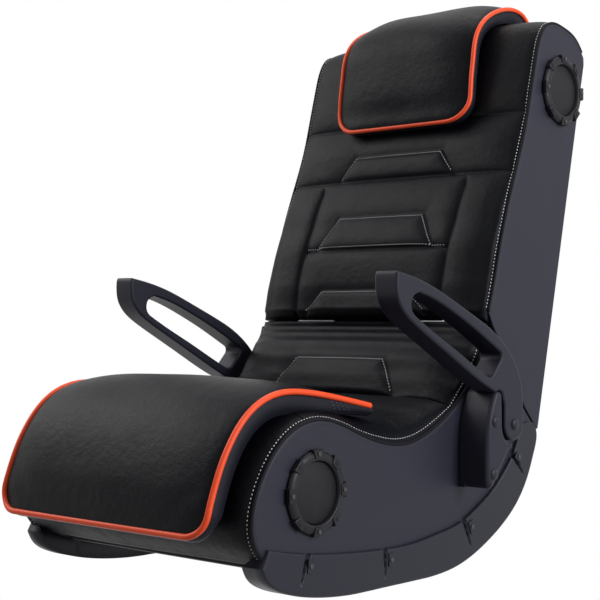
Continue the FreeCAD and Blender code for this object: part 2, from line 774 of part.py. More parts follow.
# Side speakers: driver, bezel, grille and screws
def speaker(prefix, centre_y, centre_z):
    def at(offset):
        return (FACE + "+" + str(offset), centre_y, centre_z)

    flange_disc = rod(prefix + "Flange", "speaker_flange", "2", at(0))
    inward = FreeCAD.Rotation(Vec(0, 1, 0), -90)
    basket = taper(prefix + "Basket", "speaker_basket", "speaker_magnet-3", "speaker_deep", at(1), inward)
    magnet = rod(prefix + "Magnet", "speaker_magnet", "speaker_magnet_deep", at("2-speaker_deep"), inward)
    hollow = taper(prefix + "Hollow", "speaker_basket-1.6", "speaker_magnet-4.6", "speaker_deep-2.5",
                   at(2.1), inward)
    driver = cut(prefix + "Driver", join(prefix + "DriverBody", [flange_disc, basket, magnet]), hollow)
    bezel_disc = rod(prefix + "Bezel", "speaker_bezel", "speaker_proud", at(0))
    bezel_hole = rod(prefix + "BezelHole", "speaker_grille+fit_gap", "speaker_proud+4", at(-2))
    recess = rod(prefix + "Recess", "speaker_flange+fit_gap", "2+fit_gap", at(0))
    tabs = []
    for i in range(8):
        turn = FreeCAD.Rotation(Vec(1, 0, 0), 45.0 * i)
        lug = doc.addObject("Part::Box", prefix + "Tab%d" % i)
        bind(lug, "Length", "speaker_tab_proud")
        bind(lug, "Width", "speaker_tab_wide")
        bind(lug, "Height", "speaker_tab_reach-speaker_grille-3")
        swing = math.radians(45.0 * i)
        place(lug, (FACE,
                    "%s-%.9f*speaker_tab_wide/2-%.9f*(speaker_grille+3)" % (centre_y, math.cos(swing),
                                                                            math.sin(swing)),
                    "%s-%.9f*speaker_tab_wide/2+%.9f*(speaker_grille+3)" % (centre_z, math.sin(swing),
                                                                            math.cos(swing))), turn)
        tabs.append(lug)
    solid_ring = join(prefix + "BezelSolid", [bezel_disc] + tabs)
    opened = cut(prefix + "BezelOpen", solid_ring, bezel_hole)
    seated = cut(prefix + "BezelSeated", opened, recess)
    drills = []
    screws = []
    for i in range(4):
        swing = math.radians(90.0 * i)
        y = "%s+%.9f*(speaker_screw_circle+4)" % (centre_y, math.cos(swing))
        z = "%s+%.9f*(speaker_screw_circle+4)" % (centre_z, math.sin(swing))
        drills.append(rod(prefix + "Drill%d" % i, "1.6", "speaker_tab_proud+8", (FACE + "-4", y, z)))
        stem = rod(prefix + "Stem%d" % i, "1.5", "speaker_tab_proud+10", (FACE + "-10", y, z))
        head = rod(prefix + "Head%d" % i, "2.8", "1.2", (FACE + "+speaker_tab_proud", y, z))
        screws.append(join(prefix + "Screw%d" % i, [stem, head]))
    drilled = cut(prefix + "BezelDrilled", seated, join(prefix + "Drills", drills))
    plate = rod(prefix + "GrillePlate", "speaker_grille", "3", at(2))
    dome = taper(prefix + "GrilleDome", "speaker_grille-3", "speaker_grille-14", "2.5", at(5))
    mesh = join(prefix + "Grille", [plate, dome])
    return driver, drilled, mesh, screws


for unit, side_y, side_z in (("Base", "speaker_low_y", "speaker_low_z"), ("Back", "speaker_top_y", "speaker_top_z")):
    driver, bezel, mesh, screws = speaker(unit, side_y, side_z)
    low = unit.lower()
    node(low + "_speaker_driver_left", driver)
    node(low + "_speaker_driver_right", mirror(unit + "DriverRight", driver))
    node(low + "_speaker_bezel_left", bezel)
    node(low + "_speaker_bezel_right", mirror(unit + "BezelRight", bezel))
    node(low + "_speaker_grilles", group(unit + "Grilles", [mesh, mirror(unit + "GrilleRight", mesh)]))
    other = [mirror(unit + "ScrewRight%d" % i, screw) for i, screw in enumerate(screws)]
    node(low + "_speaker_screws", group(unit + "Screws", screws + other))

# Armrests with their slots
arm_out = face + val("arm_outer")
arm_in = face + val("bracket_plate") + val("arm_play")
shank_r = val("arm_shank")
stop = (val("stop_y"), val("stop_z"))


def polar(centre, radius, degrees):
    turn = math.radians(degrees)
    return (centre[0] + radius * math.cos(turn), centre[1] + radius * math.sin(turn))


arch = val("stop_radius") + val("soft_gap")
arch_right = polar(stop, arch, 10)
arch_top = polar(stop, arch, 75)
arch_left = polar(stop, arch, 135)
right_side = (pivot[0] + shank_r, pivot[1])
left_side = (pivot[0] - shank_r, pivot[1])
TIP = (-86, 397.5)
ARM_TOP = [TIP, (-67, 394), (-19, 381.5), (33, 361), (81, 340.5), (112, 326), (145, 305), (170, 280),
           (185, 252), (pivot[0] + shank_r - 0.5, 225)]
upper = spline(ARM_TOP + [right_side], end=(0, -1)).toShape()
ARM_UNDER = [arch_left, (94, 253), (46, 278), (-6, 306), (-50, 330), (-77, 350), (-87, 367), (-89, 386)]
under = spline(ARM_UNDER).toShape()
arm_edges = [upper, arc(right_side, polar(pivot, shank_r, -90), left_side),
             line(left_side, (left_side[0], 222)), line((left_side[0], 222), arch_right),
             arc(arch_right, arch_top, arch_left), under, line(ARM_UNDER[-1], TIP)]
arm = prism(arm_edges, arm_in, arm_out)
rim = [item for item in arm.Edges if item.BoundBox.XLength < 0.01]
arm = arm.makeChamfer(val("arm_round"), rim)
slot_top = spline([(-42, 371), (-19, 365), (33, 345), (81, 322.5), (131, 296)]).toShape()
slot_low = spline([(106, 262), (81, 274.5), (33, 299.5), (-19, 325.5), (-46, 340)]).toShape()
slot = prism([slot_top, arc((131, 296), (137.5, 291), (137, 284)), line((137, 284), (117, 262.5)),
              arc((117, 262.5), (112, 260.5), (106, 262)), slot_low,
              arc((-46, 340), (-58, 357), (-42, 371))], arm_in - 5, arm_out + 5)
arm = arm.cut(slot)
arm = arm.cut(rod_shape(val("pin_radius") + val("pin_play"), arm_in - 5, arm_out + 5, pivot[0], pivot[1]))
node("armrest_left", feature("ArmrestLeft", arm))
node("armrest_right", mirror("ArmrestRight", nodes["armrest_left"]))

# Tubes along straight runs joined by tangent arcs
def tube(points, radius):
    edges = []
    last = points[0]
    for i in range(1, len(points) - 1):
        before = points[i] - points[i - 1]
        after = points[i + 1] - points[i]
        reach = 0.45 * min(before.Length, after.Length)
        one = Vec(before).normalize()
        two = Vec(after).normalize()
        turn = one.getAngle(two)
        a = points[i] - one * reach
        b = points[i] + two * reach
        arc_radius = reach / math.tan(turn / 2)
        toward = (two - one).normalize()
        middle = points[i] + toward * (arc_radius / math.cos(turn / 2) - arc_radius)
        edges.append(Part.makeLine(last, a))
        edges.append(Part.Arc(a, middle, b).toShape())
        last = b
    edges.append(Part.makeLine(last, points[-1]))
    wire = Part.Wire(edges)
    start_dir = points[1] - points[0]
    ring = Part.Wire(Part.makeCircle(radius, points[0], start_dir))
    return wire.makePipeShell([ring], True, False)


# Welts along the side seams
def welt(path, start, end, number, extra=0.0):
    points = []
    for i in range(number):
        point, normal = path.at(start + (end - start) * i / (number - 1))
        spot = point - normal * (edge * 0.42)
        points.append(Vec(half + val("welt_radius") + 0.15, spot.y, spot.z))
    return tube(points, val("welt_radius") + extra)


base_welt = welt(base_path, 0.03, base_path.nearest(172, 322), 22)
back_welt = welt(back_path, back_path.nearest(182, 352), 0.985, 16)
for label, piece in (("base_welts", base_welt), ("back_welts", back_welt)):
    pair = Part.makeCompound([piece, piece.mirror(Vec(0, 0, 0), Vec(1, 0, 0))])
    node(label, feature(label.title().replace("_", ""), pair))

# Arm brackets: a plate behind the arm and a block in front of its pivot
plate_out = face + val("bracket_plate")
relief = shank_r + val("bracket_gap")
tip_left = polar(stop, val("stop_radius"), 160)
tip_top = polar(stop, val("stop_radius"), 90)
tip_right = polar(stop, val("stop_radius"), 0)
relief_left = (pivot[0] - relief, pivot[1])
relief_low = polar(pivot, relief, 262)
block_edges = [line((106, 110), (107.5, 197)), line((107.5, 197), tip_left), arc(tip_left, tip_top, tip_right),
               line(tip_right, relief_left), arc(relief_left, polar(pivot, relief, 220), relief_low),
               line(relief_low, (121, 119)), line((121, 119), (106, 110))]
bracket = prism(block_edges, plate_out, arm_out)
plate_r = shank_r - 1.5
plate_right = polar(pivot, plate_r, -20)
plate_low = polar(pivot, plate_r, 262)
plate_top = polar(pivot, plate_r, 100)
plate_edges = [line((106, 110), (107.5, 197)), line((107.5, 197), tip_left), arc(tip_left, tip_top, tip_right),
               line(tip_right, plate_top), arc(plate_top, plate_right, plate_low),
               line(plate_low, (121, 119)), line((121, 119), (106, 110))]
bracket = bracket.fuse(prism(plate_edges, face, plate_out)).removeSplitter()
bracket = bracket.cut(welt(base_path, 0.03, base_path.nearest(172, 322), 22, soft))
for y, z in bolts:
    bracket = bracket.cut(rod_shape(val("bolt_radius") + clear, face - 5, arm_out + 5, y, z))
bracket = bracket.cut(rod_shape(val("pin_radius") + val("pin_play"), face - 5, arm_out + 5, pivot[0], pivot[1]))
node("arm_bracket_left", feature("ArmBracketLeft", bracket))
node("arm_bracket_right", mirror("ArmBracketRight", nodes["arm_bracket_left"]))


def capped_pin(radius, y, z, gap_out):
    cap_r = val("cap_radius")
    seat_x = arm_out + gap_out
    stem = rod_shape(radius, board_in - val("nut_high"), seat_x + 0.1, y, z)
    cap = rod_shape(cap_r, seat_x, seat_x + 1.2, y, z)
    dome = Part.makeCone(cap_r, cap_r * 0.45, val("cap_high") - 1.2, Vec(seat_x + 1.2, y, z), Vec(1, 0, 0))
    nut = rod_shape(val("nut_radius"), board_in - val("nut_high"), board_in, y, z)
    return stem.fuse([cap, dome, nut]).removeSplitter()


both = []
for y, z in bolts:
    one = capped_pin(val("bolt_radius"), y, z, 0.0)
    both += [one, one.mirror(Vec(0, 0, 0), Vec(1, 0, 0))]
node("bracket_bolts", feature("BracketBolts", Part.makeCompound(both)))
pivot_pin = capped_pin(val("pin_radius"), pivot[0], pivot[1], val("fit_gap"))
node("arm_pin_left", feature("ArmPinLeft", pivot_pin))
node("arm_pin_right", mirror("ArmPinRight", nodes["arm_pin_left"]))

# Fold hinges
barrel = val("hinge_barrel")
leaf = val("hinge_leaf")
start_x = val("hinge_start")
long_x = val("hinge_long")
play = val("hinge_play")
third = long_x / 3.0


def hinge_leaf(side, spans):
    near = gap / 2 - leaf
    points = []
    for reach, off in ((0.0, near), (val("hinge_reach"), near), (val("hinge_reach"), gap / 2), (0.0, gap / 2)):
        points.append(FOLD + ALONG * reach + ACROSS * (side * off))
    points.append(points[0])
    plate = Part.Face(Part.makePolygon(points))
    plate.translate(Vec(start_x, 0, 0))
    plate = plate.extrude(Vec(long_x, 0, 0))
    shape = plate
    for low, high in spans:
        shape = shape.fuse(rod_shape(barrel, start_x + low, start_x + high, FOLD.y, FOLD.z))
    gaps = []
    edge_low = 0.0
    for low, high in spans + [(long_x, long_x)]:
        if low > edge_low:
            gaps.append((edge_low, low))
        edge_low = high
    for low, high in gaps:
        shape = shape.cut(rod_shape(barrel + play, start_x + low - 0.01, start_x + high + 0.01, FOLD.y, FOLD.z))
    shape = shape.cut(rod_shape(val("hinge_pin") + val("pin_play"), start_x - 5, start_x + long_x + 5,
                                FOLD.y, FOLD.z))
    return shape.removeSplitter()


fixed_leaf = hinge_leaf(-1.0, [(0.0, third - play / 2), (2 * third + play / 2, long_x)])
moving_leaf = hinge_leaf(1.0, [(third + play / 2, 2 * third - play / 2)])
hinge_pin = rod_shape(val("hinge_pin"), start_x - 1.0, start_x + long_x + 1.0, FOLD.y, FOLD.z)
hinge_pin = hinge_pin.fuse(rod_shape(barrel - 0.5, start_x - 2.5, start_x - 0.0, FOLD.y, FOLD.z))
for label, piece in (("hinge_base_leaves", fixed_leaf), ("hinge_back_leaves", moving_leaf), ("hinge_pins", hinge_pin)):
    pair = Part.makeCompound([piece, piece.mirror(Vec(0, 0, 0), Vec(1, 0, 0))])
    node(label, feature(label.title().replace("_", ""), pair))

pad_start = FOLD + ALONG * val("stop_pad_at")
pad_points = [pad_start - ACROSS * (gap / 2), pad_start + ALONG * val("stop_pad_long") - ACROSS * (gap / 2)]
pad_points.append(pad_points[1] + ACROSS * (gap - val("soft_gap")))
pad_points.append(pad_points[0] + ACROSS * (gap - val("soft_gap")))
pad_points.append(pad_points[0])
stop_face = Part.Face(Part.makePolygon(pad_points))
stop_face.translate(Vec(120.0, 0, 0))
stop_pad = stop_face.extrude(Vec(val("stop_pad_half"), 0, 0))
node("fold_stop_pads", feature("FoldStopPads",
                               Part.makeCompound([stop_pad, stop_pad.mirror(Vec(0, 0, 0), Vec(1, 0, 0))])))

# Leg pad draped over the front of the seat
PAD_EDGE = [(-350, 96), (-346, 112), (-337, 138), (-323, 168), (-302, 200), (-268, 232), (-224, 249),
            (-178, 249), (-113, 239), (-43, 225)]
pad_path = Path(PAD_EDGE)
pad_half = val("pad_half")
pad_from = base_path.nearest(-285, 72)
pad_to = base_path.nearest(-38, 179)
top_rows = []
low_rows = []
PAD_ROWS = 30
for i in range(PAD_ROWS):
    share = i / (PAD_ROWS - 1)
    point, normal = pad_path.at(share)
    ring_point, ring_normal = base_path.at(pad_from + (pad_to - pad_from) * share)
    crown = blend_table(BASE_CROWN, (pad_from + (pad_to - pad_from) * share) * base_path.length)
    swell = val("pad_crown") * (0.25 + 0.75 * round_off(2 * share - 1, 10))
    top_row = []
    low_row = []
    for t in columns(25):
        lift = swell * (1 - t ** 4) * (0.7 + 0.3 * (1 - t * t)) - 3.0 * (1 - round_off(t, 30))
        spot = point + normal * lift
        top_row.append(Vec(t * pad_half, spot.y, spot.z))
        lift_low = crown * crown_shape(t * pad_half / half) + soft
        below = ring_point + ring_normal * lift_low
        low_row.append(Vec(t * pad_half, below.y, below.z))
    top_rows.append(top_row)
    low_rows.append(low_row)
leg_pad = skin_solid(top_rows, low_rows)


def with_groove(body, run, radius):
    """The main solid of a pad with a groove in which its cord lies."""
    grooved = body.cut(tube(run, radius + soft))
    return max(grooved.Solids, key=lambda piece: piece.Volume)


cord = val("pad_cord")
cord_x = pad_half + cord + 0.15
side_run = []
for share in (1.0, 0.86, 0.72, 0.6, 0.48, 0.37, 0.26, 0.13):
    point, normal = pad_path.at(share)
    side_run.append(Vec(cord_x, point.y, point.z))
low_point, low_normal = pad_path.at(0.0)
front_low = low_point + Vec(0, -2.0, -cord - 0.2)
corner_pts = [Vec(cord_x - 2, low_point.y - 1.5, low_point.z + 14), Vec(cord_x - 22, front_low.y - 1.0, front_low.z)]
pad_run = side_run + corner_pts
pad_run += [Vec(0, front_low.y - 4.0, front_low.z - 1.5)]
pad_run += [Vec(-p.x, p.y, p.z) for p in reversed(side_run + corner_pts)]
node("leg_pad", feature("LegPad", with_groove(leg_pad, pad_run, cord)))
node("leg_pad_piping", feature("LegPadPiping", tube(pad_run, cord)))

# Head pillow draped over the top of the backrest
PILLOW_EDGE = [(250, 632), (258, 655), (262, 690), (267, 722), (274, 754), (290, 778), (314, 795), (345, 807),
               (378, 811), (402, 805), (418, 790)]
pillow_path = Path(PILLOW_EDGE)
pillow_half = val("pillow_half")
pillow_from = back_path.nearest(281, 634)
pillow_to = back_path.nearest(418, 752)
top_rows = []
low_rows = []
PILLOW_ROWS = 30
for i in range(PILLOW_ROWS):
    share = i / (PILLOW_ROWS - 1)
    point, normal = pillow_path.at(share)
    ring_point, ring_normal = back_path.at(pillow_from + (pillow_to - pillow_from) * share)
    crown = blend_table(BACK_CROWN, (pillow_from + (pillow_to - pillow_from) * share) * back_path.length)
    swell = val("pillow_crown") * (0.2 + 0.8 * round_off(2 * share - 1, 8))
    narrow = 1.0 - 0.16 * max(0.0, 1.0 - share / 0.16) ** 2.2
    top_row = []
    low_row = []
    for t in columns(23):
        lift = swell * (1 - t ** 4) * (0.7 + 0.3 * (1 - t * t)) - 3.0 * (1 - round_off(t, 30))
        x = t * pillow_half * narrow
        spot = point + normal * lift
        top_row.append(Vec(x, spot.y, spot.z))
        lift_low = crown * crown_shape(x / half) + soft + 0.3
        below = ring_point + ring_normal * lift_low
        low_row.append(Vec(x, below.y, below.z))
    top_rows.append(top_row)
    low_rows.append(low_row)
pillow = skin_solid(top_rows, low_rows)
thin = val("pillow_cord")
edge_x = pillow_half + thin + 0.15
side_run = []
for share in (0.96, 0.84, 0.7, 0.57, 0.44, 0.32, 0.2, 0.13):
    point, normal = pillow_path.at(share)
    side_run.append(Vec(edge_x, point.y, point.z))
low_point, low_normal = pillow_path.at(0.0)
corner_pts = [Vec(edge_x - 10, low_point.y + 1.0, low_point.z + 9),
              Vec(edge_x - 34, low_point.y - 1.5, low_point.z - thin + 0.2)]
pillow_run = side_run + corner_pts + [Vec(0, low_point.y - 3.0, low_point.z - thin - 3.0)]
pillow_run += [Vec(-p.x, p.y, p.z) for p in reversed(side_run + corner_pts)]
pillow = with_groove(pillow, pillow_run, thin)
node("head_pillow", feature("HeadPillow", pillow))
node("head_pillow_piping", feature("HeadPillowPiping", tube(pillow_run, thin)))

# Strap that holds the pillow, from under it over the top edge and down the rear panel
strap_half = val("strap_half")
strap_thick = val("strap_thick")
strap_low = []
strap_high = []
for spot in (back_path.nearest(396, 767), back_path.nearest(407, 762), back_path.nearest(418, 753),
             back_path.nearest(428, 743)):
    point, normal = back_path.at(spot)
    lift = blend_table(BACK_CROWN, spot * back_path.length) + soft
    for reach, row in ((lift, strap_low), (lift + strap_thick, strap_high)):
        row.append(((point + normal * reach).y, (point + normal * reach).z))
end_point, end_normal = back_path.at(1.0)
crest = (end_point - REAR_LOW).dot(rear_along) + val("strap_rise")
for up in (crest, crest - val("strap_long") / 3.0, crest - val("strap_long")):
    for reach, row in ((panel_thick, strap_low), (panel_thick + strap_thick, strap_high)):
        point = REAR_LOW + rear_along * up + rear_out * reach
        row.append((point.y, point.z))
strap = prism([spline(strap_low).toShape(), spline(strap_high).toShape(), line(strap_low[0], strap_high[0]),
               line(strap_low[-1], strap_high[-1])], -strap_half, strap_half)
strap = strap.cut(pillow)
for piece in (nodes["back_cushion"], nodes["back_rear_panel"]):
    strap = strap.cut(piece.Shape)
strap = max(strap.Solids, key=lambda piece: piece.Volume)
node("pillow_strap", feature("PillowStrap", strap))

# Underside cover and battens of the seat unit
cover_top = Path(BOARD_BOTTOM)
thin_cover = val("cover_thick")
under_low = cover_top.shifted(0.0, 0.05, 0.97)
under_high = cover_top.shifted(thin_cover, 0.05, 0.97)
under_cover = prism([spline(under_low).toShape(), spline(under_high).toShape(),
                     line(under_low[0], under_high[0]), line(under_low[-1], under_high[-1])],
                    -rail_in, rail_in)
node("under_cover", feature("UnderCover", under_cover))


def cross_batten(name, y, z, deep, tall):
    box = Part.makeBox(2 * board_in, deep, tall, Vec(-board_in, y, z))
    return node(name, feature(name.title().replace("_", ""), box))


cross_batten("base_front_batten", -246.0, 62.0, 18.0, 80.0)
cross_batten("base_middle_batten", 60.0, 96.0, 18.0, 44.0)

# Control panel, amplifier and controls on the sitter's right side
panel_x = "-(seam_half+cover_step+panel_thick)"
window_x = "-(seam_half+cover_step)"
plate = block("PanelPlate", ("panel_thick", "panel_long", "panel_high"),
              (panel_x, "panel_y-panel_long/2", "panel_z-panel_high/2"))
panel_holes = [
    rod("VolumeHole", "knob_shaft+pin_play", "panel_thick+20", (panel_x + "-10", "panel_y-knob_spread", "panel_z")),
    rod("BassHole", "knob_shaft+pin_play", "panel_thick+20", (panel_x + "-10", "panel_y", "panel_z")),
    rod("ButtonHole", "button_radius+pin_play", "panel_thick+20", (panel_x + "-10", "panel_y+knob_spread",
                                                                 "panel_z+panel_high/4")),
]
for i, shift in enumerate(("-socket_spread", "0", "socket_spread")):
    panel_holes.append(rod("SocketHole%d" % i, "socket_outer-1", "panel_thick+20",
                           (panel_x + "-10", "panel_y+knob_spread+" + shift, "panel_z-panel_high/4")))
panel = cut("ControlPanel", plate, join("PanelHoles", panel_holes))
node("control_panel", panel)

sockets = []
for i, shift in enumerate(("-socket_spread", "0", "socket_spread")):
    where_y = "panel_y+knob_spread+" + shift
    where_z = "panel_z-panel_high/4"
    ring = rod("SocketRim%d" % i, "socket_outer", "socket_proud", (panel_x + "-socket_proud", where_y, where_z))
    barrel_part = rod("SocketBarrel%d" % i, "socket_outer-1", "panel_thick+8", (panel_x, where_y, where_z))
    bore = rod("SocketBore%d" % i, "socket_inner", "panel_thick+socket_proud+4",
               (panel_x + "-socket_proud-1", where_y, where_z))
    sockets.append(cut("Socket%d" % i, join("SocketBody%d" % i, [ring, barrel_part]), bore))
node("input_sockets", group("InputSockets", sockets))

for label, radius, where_y in (("volume_knob", "volume_radius", "panel_y-knob_spread"),
                               ("bass_knob", "bass_radius", "panel_y")):
    head = taper(label + "Head", radius, radius + "-1.2", "knob_proud",
                 (panel_x + "-knob_stand", where_y, "panel_z"), FreeCAD.Rotation(Vec(0, 1, 0), -90))
    shaft = rod(label + "Shaft", "knob_shaft", "knob_shaft_long+knob_stand",
                (panel_x + "-knob_stand", where_y, "panel_z"))
    mark = block(label + "Mark", ("2", "1.4", radius + "-2"),
                 (panel_x + "-knob_stand-knob_proud-0.6", where_y + "-0.7", "panel_z+1"))
    node(label, join(label + "Body", [head, shaft, mark]))

button = rod("ButtonBody", "button_radius", "button_long+button_proud",
             (panel_x + "-button_proud", "panel_y+knob_spread", "panel_z+panel_high/4"))
node("power_button", group("PowerButton", [button]))

amp_x = "-(seam_half+cover_step-board_thick)"
amp = block("AmpBox", ("amp_deep", "amp_long", "amp_high"),
            (amp_x, "panel_y-amp_long/2", "panel_z-amp_high/2"))
node("amplifier_box", group("AmplifierBox", [amp]))

doc.recompute()


def reach_y(names, sign):
    """The furthest meshed point of the named nodes along plus or minus Y."""
    best = -1e9
    for label in names:
        for point in nodes[label].Shape.tessellate(0.2)[0]:
            best = max(best, sign * point.y)
    return sign * best


# The frame's origin lies on the floor, in the middle of the whole length
front_names = sorted(nodes, key=lambda label: nodes[label].Shape.BoundBox.YMin)[:3]
rear_names = sorted(nodes, key=lambda label: -nodes[label].Shape.BoundBox.YMax)[:4]
middle = round((reach_y(front_names, -1.0) + reach_y(rear_names, 1.0)) / 2.0, 1)
for obj in nodes.values():
    if obj.TypeId == "Part::Mirroring":
        continue
    spot = obj.Placement
    spot.Base = spot.Base - Vec(0, middle, 0)
    obj.Placement = spot
doc.recompute()
print("moved forward by", middle)

# Nothing is written unless every object is sound
for obj in doc.Objects:
    if "Invalid" in obj.State or "Error" in obj.State:
        raise RuntimeError("not computed: " + obj.Label)
for label, obj in nodes.items():
    if obj.Shape.isNull() or not obj.Shape.isValid() or not obj.Shape.Solids:
        raise RuntimeError("unsound shape: " + label)
for label, obj in nodes.items():
    obj.Shape.exportStep("parts/" + label + ".step")
print(len(nodes), "nodes written")
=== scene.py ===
import math

import bmesh
import bpy
import numpy as np
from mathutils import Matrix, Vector
from mathutils.geometry import tessellate_polygon


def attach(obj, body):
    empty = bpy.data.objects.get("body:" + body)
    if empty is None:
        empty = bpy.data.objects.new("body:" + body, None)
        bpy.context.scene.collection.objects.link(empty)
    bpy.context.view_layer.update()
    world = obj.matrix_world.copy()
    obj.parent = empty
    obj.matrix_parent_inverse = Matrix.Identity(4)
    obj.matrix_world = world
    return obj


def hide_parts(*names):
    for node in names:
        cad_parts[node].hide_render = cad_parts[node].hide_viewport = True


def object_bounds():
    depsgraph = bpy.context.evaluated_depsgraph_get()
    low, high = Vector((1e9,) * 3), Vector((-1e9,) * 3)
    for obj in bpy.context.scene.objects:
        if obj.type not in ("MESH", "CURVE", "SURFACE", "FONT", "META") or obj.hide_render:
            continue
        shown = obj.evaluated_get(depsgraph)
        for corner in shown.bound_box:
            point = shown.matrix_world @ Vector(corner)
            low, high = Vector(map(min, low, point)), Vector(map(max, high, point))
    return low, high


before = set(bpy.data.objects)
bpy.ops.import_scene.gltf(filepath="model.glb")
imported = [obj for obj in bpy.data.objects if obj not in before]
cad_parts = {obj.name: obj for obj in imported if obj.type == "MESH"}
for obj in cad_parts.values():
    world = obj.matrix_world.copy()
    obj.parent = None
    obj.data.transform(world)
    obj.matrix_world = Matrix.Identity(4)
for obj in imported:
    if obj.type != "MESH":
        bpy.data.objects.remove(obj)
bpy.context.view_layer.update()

# Lengths are millimetres in the drawing frame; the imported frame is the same, moved forward by SHIFT
SHIFT = 39.8
HALF = 211.0  # half the width of the padded covers
FACE = 213.5  # X of the side boards' outer faces
SEAM_IN = 2.6  # how far the side stitches lie inside the covers' edge


def smooth(t):
    """Eases from 0 to 1."""
    t = np.clip(t, 0.0, 1.0)
    return t * t * (3.0 - 2.0 * t)


def table(points, x):
    """A value that eases from point to point."""
    xs = [p[0] for p in points]
    ys = [p[1] for p in points]
    x = np.asarray(x, float)
    out = np.full(x.shape, float(ys[0]))
    for i in range(len(xs) - 1):
        share = smooth((x - xs[i]) / (xs[i + 1] - xs[i]))
        out = np.where(x > xs[i], ys[i] + (ys[i + 1] - ys[i]) * share, out)
    return out


class Path:
    """A side outline in Y and Z, sampled by length, with its outward normals."""

    def __init__(self, points, samples=1600):
        pts = np.array(points, float)
        chord = np.concatenate([[0], np.cumsum(np.hypot(*np.diff(pts, axis=0).T))])
        fine = np.linspace(0, chord[-1], samples)
        dense = np.stack([self.spline(chord, pts[:, k], fine) for k in (0, 1)], axis=1)
        run = np.concatenate([[0], np.cumsum(np.hypot(*np.diff(dense, axis=0).T))])
        self.s = np.linspace(0, run[-1], samples)
        self.p = np.stack([np.interp(self.s, run, dense[:, k]) for k in (0, 1)], axis=1)
        step = np.gradient(self.p, axis=0)
        step /= np.hypot(step[:, 0], step[:, 1])[:, None]
        self.n = np.stack([-step[:, 1], step[:, 0]], axis=1)
        self.length = run[-1]

    @staticmethod
    def spline(x, y, at):
        """Natural cubic spline."""
        n = len(x)
        h = np.diff(x)
        a = np.zeros((n, n))
        b = np.zeros(n)
        a[0, 0] = a[-1, -1] = 1.0
        for i in range(1, n - 1):
            a[i, i - 1:i + 2] = h[i - 1], 2 * (h[i - 1] + h[i]), h[i]
            b[i] = 6 * ((y[i + 1] - y[i]) / h[i] - (y[i] - y[i - 1]) / h[i - 1])
        m = np.linalg.solve(a, b)
        k = np.clip(np.searchsorted(x, at) - 1, 0, n - 2)
        d, e = at - x[k], x[k + 1] - at
        return ((m[k] * e ** 3 + m[k + 1] * d ** 3) / (6 * h[k]) + (y[k] / h[k] - m[k] * h[k] / 6) * e
                + (y[k + 1] / h[k] - m[k + 1] * h[k] / 6) * d)

    def at(self, s, lift=0.0):
        """Y and Z at lengths s, lifted outwards, with the path running on straight past its ends."""
        s = np.asarray(s, float)
        y = np.interp(s, self.s, self.p[:, 0])
        z = np.interp(s, self.s, self.p[:, 1])
        ny = np.interp(s, self.s, self.n[:, 0])
        nz = np.interp(s, self.s, self.n[:, 1])
        size = np.hypot(ny, nz)
        over = np.clip(s - self.length, 0, None) + np.clip(s, None, 0)
        return y + ny / size * lift + nz / size * over, z + nz / size * lift - ny / size * over

    def find(self, y, z):
        """The length at which the path comes nearest to a point."""
        return self.s[np.argmin(np.hypot(self.p[:, 0] - y, self.p[:, 1] - z))]


# Side outlines, as in the CAD source
BASE = Path([(-268, 54), (-288, 80), (-291, 112), (-279, 147), (-250, 187), (-208, 213), (-165, 217),
             (-110, 200), (-50, 181), (0, 178), (48, 192), (97, 219), (135, 253), (160, 290), (175, 330),
             (180, 352)])
BACK = Path([(170, 312), (176, 336), (190, 379), (205, 430), (227, 496), (250, 553), (272, 610), (288, 667),
             (301, 715), (313, 750), (327, 768), (347, 775), (377, 772), (407, 762), (427, 744),
             (439, 725), (444, 704)])


# Meshes
def to_frame(points):
    """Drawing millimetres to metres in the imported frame."""
    out = np.array(points, float)
    out[:, 1] -= SHIFT
    return out / 1000.0


def mesh(name, points, faces, flat=False):
    """A linked object from points in the drawing frame."""
    data = bpy.data.meshes.new(name)
    data.from_pydata(to_frame(points).tolist(), [], faces)
    data.update()
    if not flat:
        data.shade_smooth()
    obj = bpy.data.objects.new(name, data)
    bpy.context.scene.collection.objects.link(obj)
    return obj


def grid_faces(rows, cols, start=0):
    """Faces between rows of points, each row closed on itself."""
    faces = []
    for i in range(rows - 1):
        for j in range(cols):
            a, b = start + i * cols, start + (i + 1) * cols
            k = (j + 1) % cols
            faces.append((a + j, a + k, b + k, b + j))
    return faces


def face_out(obj):
    """Turns the faces of a closed piece outwards."""
    work = bmesh.new()
    work.from_mesh(obj.data)
    bmesh.ops.recalc_face_normals(work, faces=work.faces)
    work.to_mesh(obj.data)
    work.free()
    return obj


def tube(name, points, radius, sides):
    """A round cord along a line of points, with flat ends."""
    pts = np.array(points, float)
    count = len(pts)
    tangent = np.vstack([pts[1:], pts[-1:]]) - np.vstack([pts[:1], pts[:-1]])
    tangent /= np.linalg.norm(tangent, axis=1)[:, None]
    up = np.array([1.0, 0.0, 0.0])
    if abs(tangent[0] @ up) > 0.9:
        up = np.array([0.0, 0.0, 1.0])
    frames = []
    u = up - tangent[0] * (up @ tangent[0])
    for t in tangent:
        u = u - t * (u @ t)
        u /= np.linalg.norm(u)
        frames.append((u, np.cross(t, u)))
    verts = []
    for spot, (u, v) in zip(pts, frames):
        for k in range(sides):
            a = 2 * math.pi * k / sides
            verts.append(spot + (u * math.cos(a) + v * math.sin(a)) * radius)
    faces = grid_faces(count, sides)
    faces.append(tuple(range(sides))[::-1])
    faces.append(tuple(range((count - 1) * sides, count * sides)))
    return face_out(mesh(name, verts, faces))


def along(points, step):
    """The points of a line resampled at an even step."""
    pts = np.array(points, float)
    run = np.concatenate([[0], np.cumsum(np.linalg.norm(np.diff(pts, axis=0), axis=1))])
    count = max(2, int(round(run[-1] / step)) + 1)
    at = np.linspace(0, run[-1], count)
    return np.stack([np.interp(at, run, pts[:, k]) for k in range(3)], axis=1)


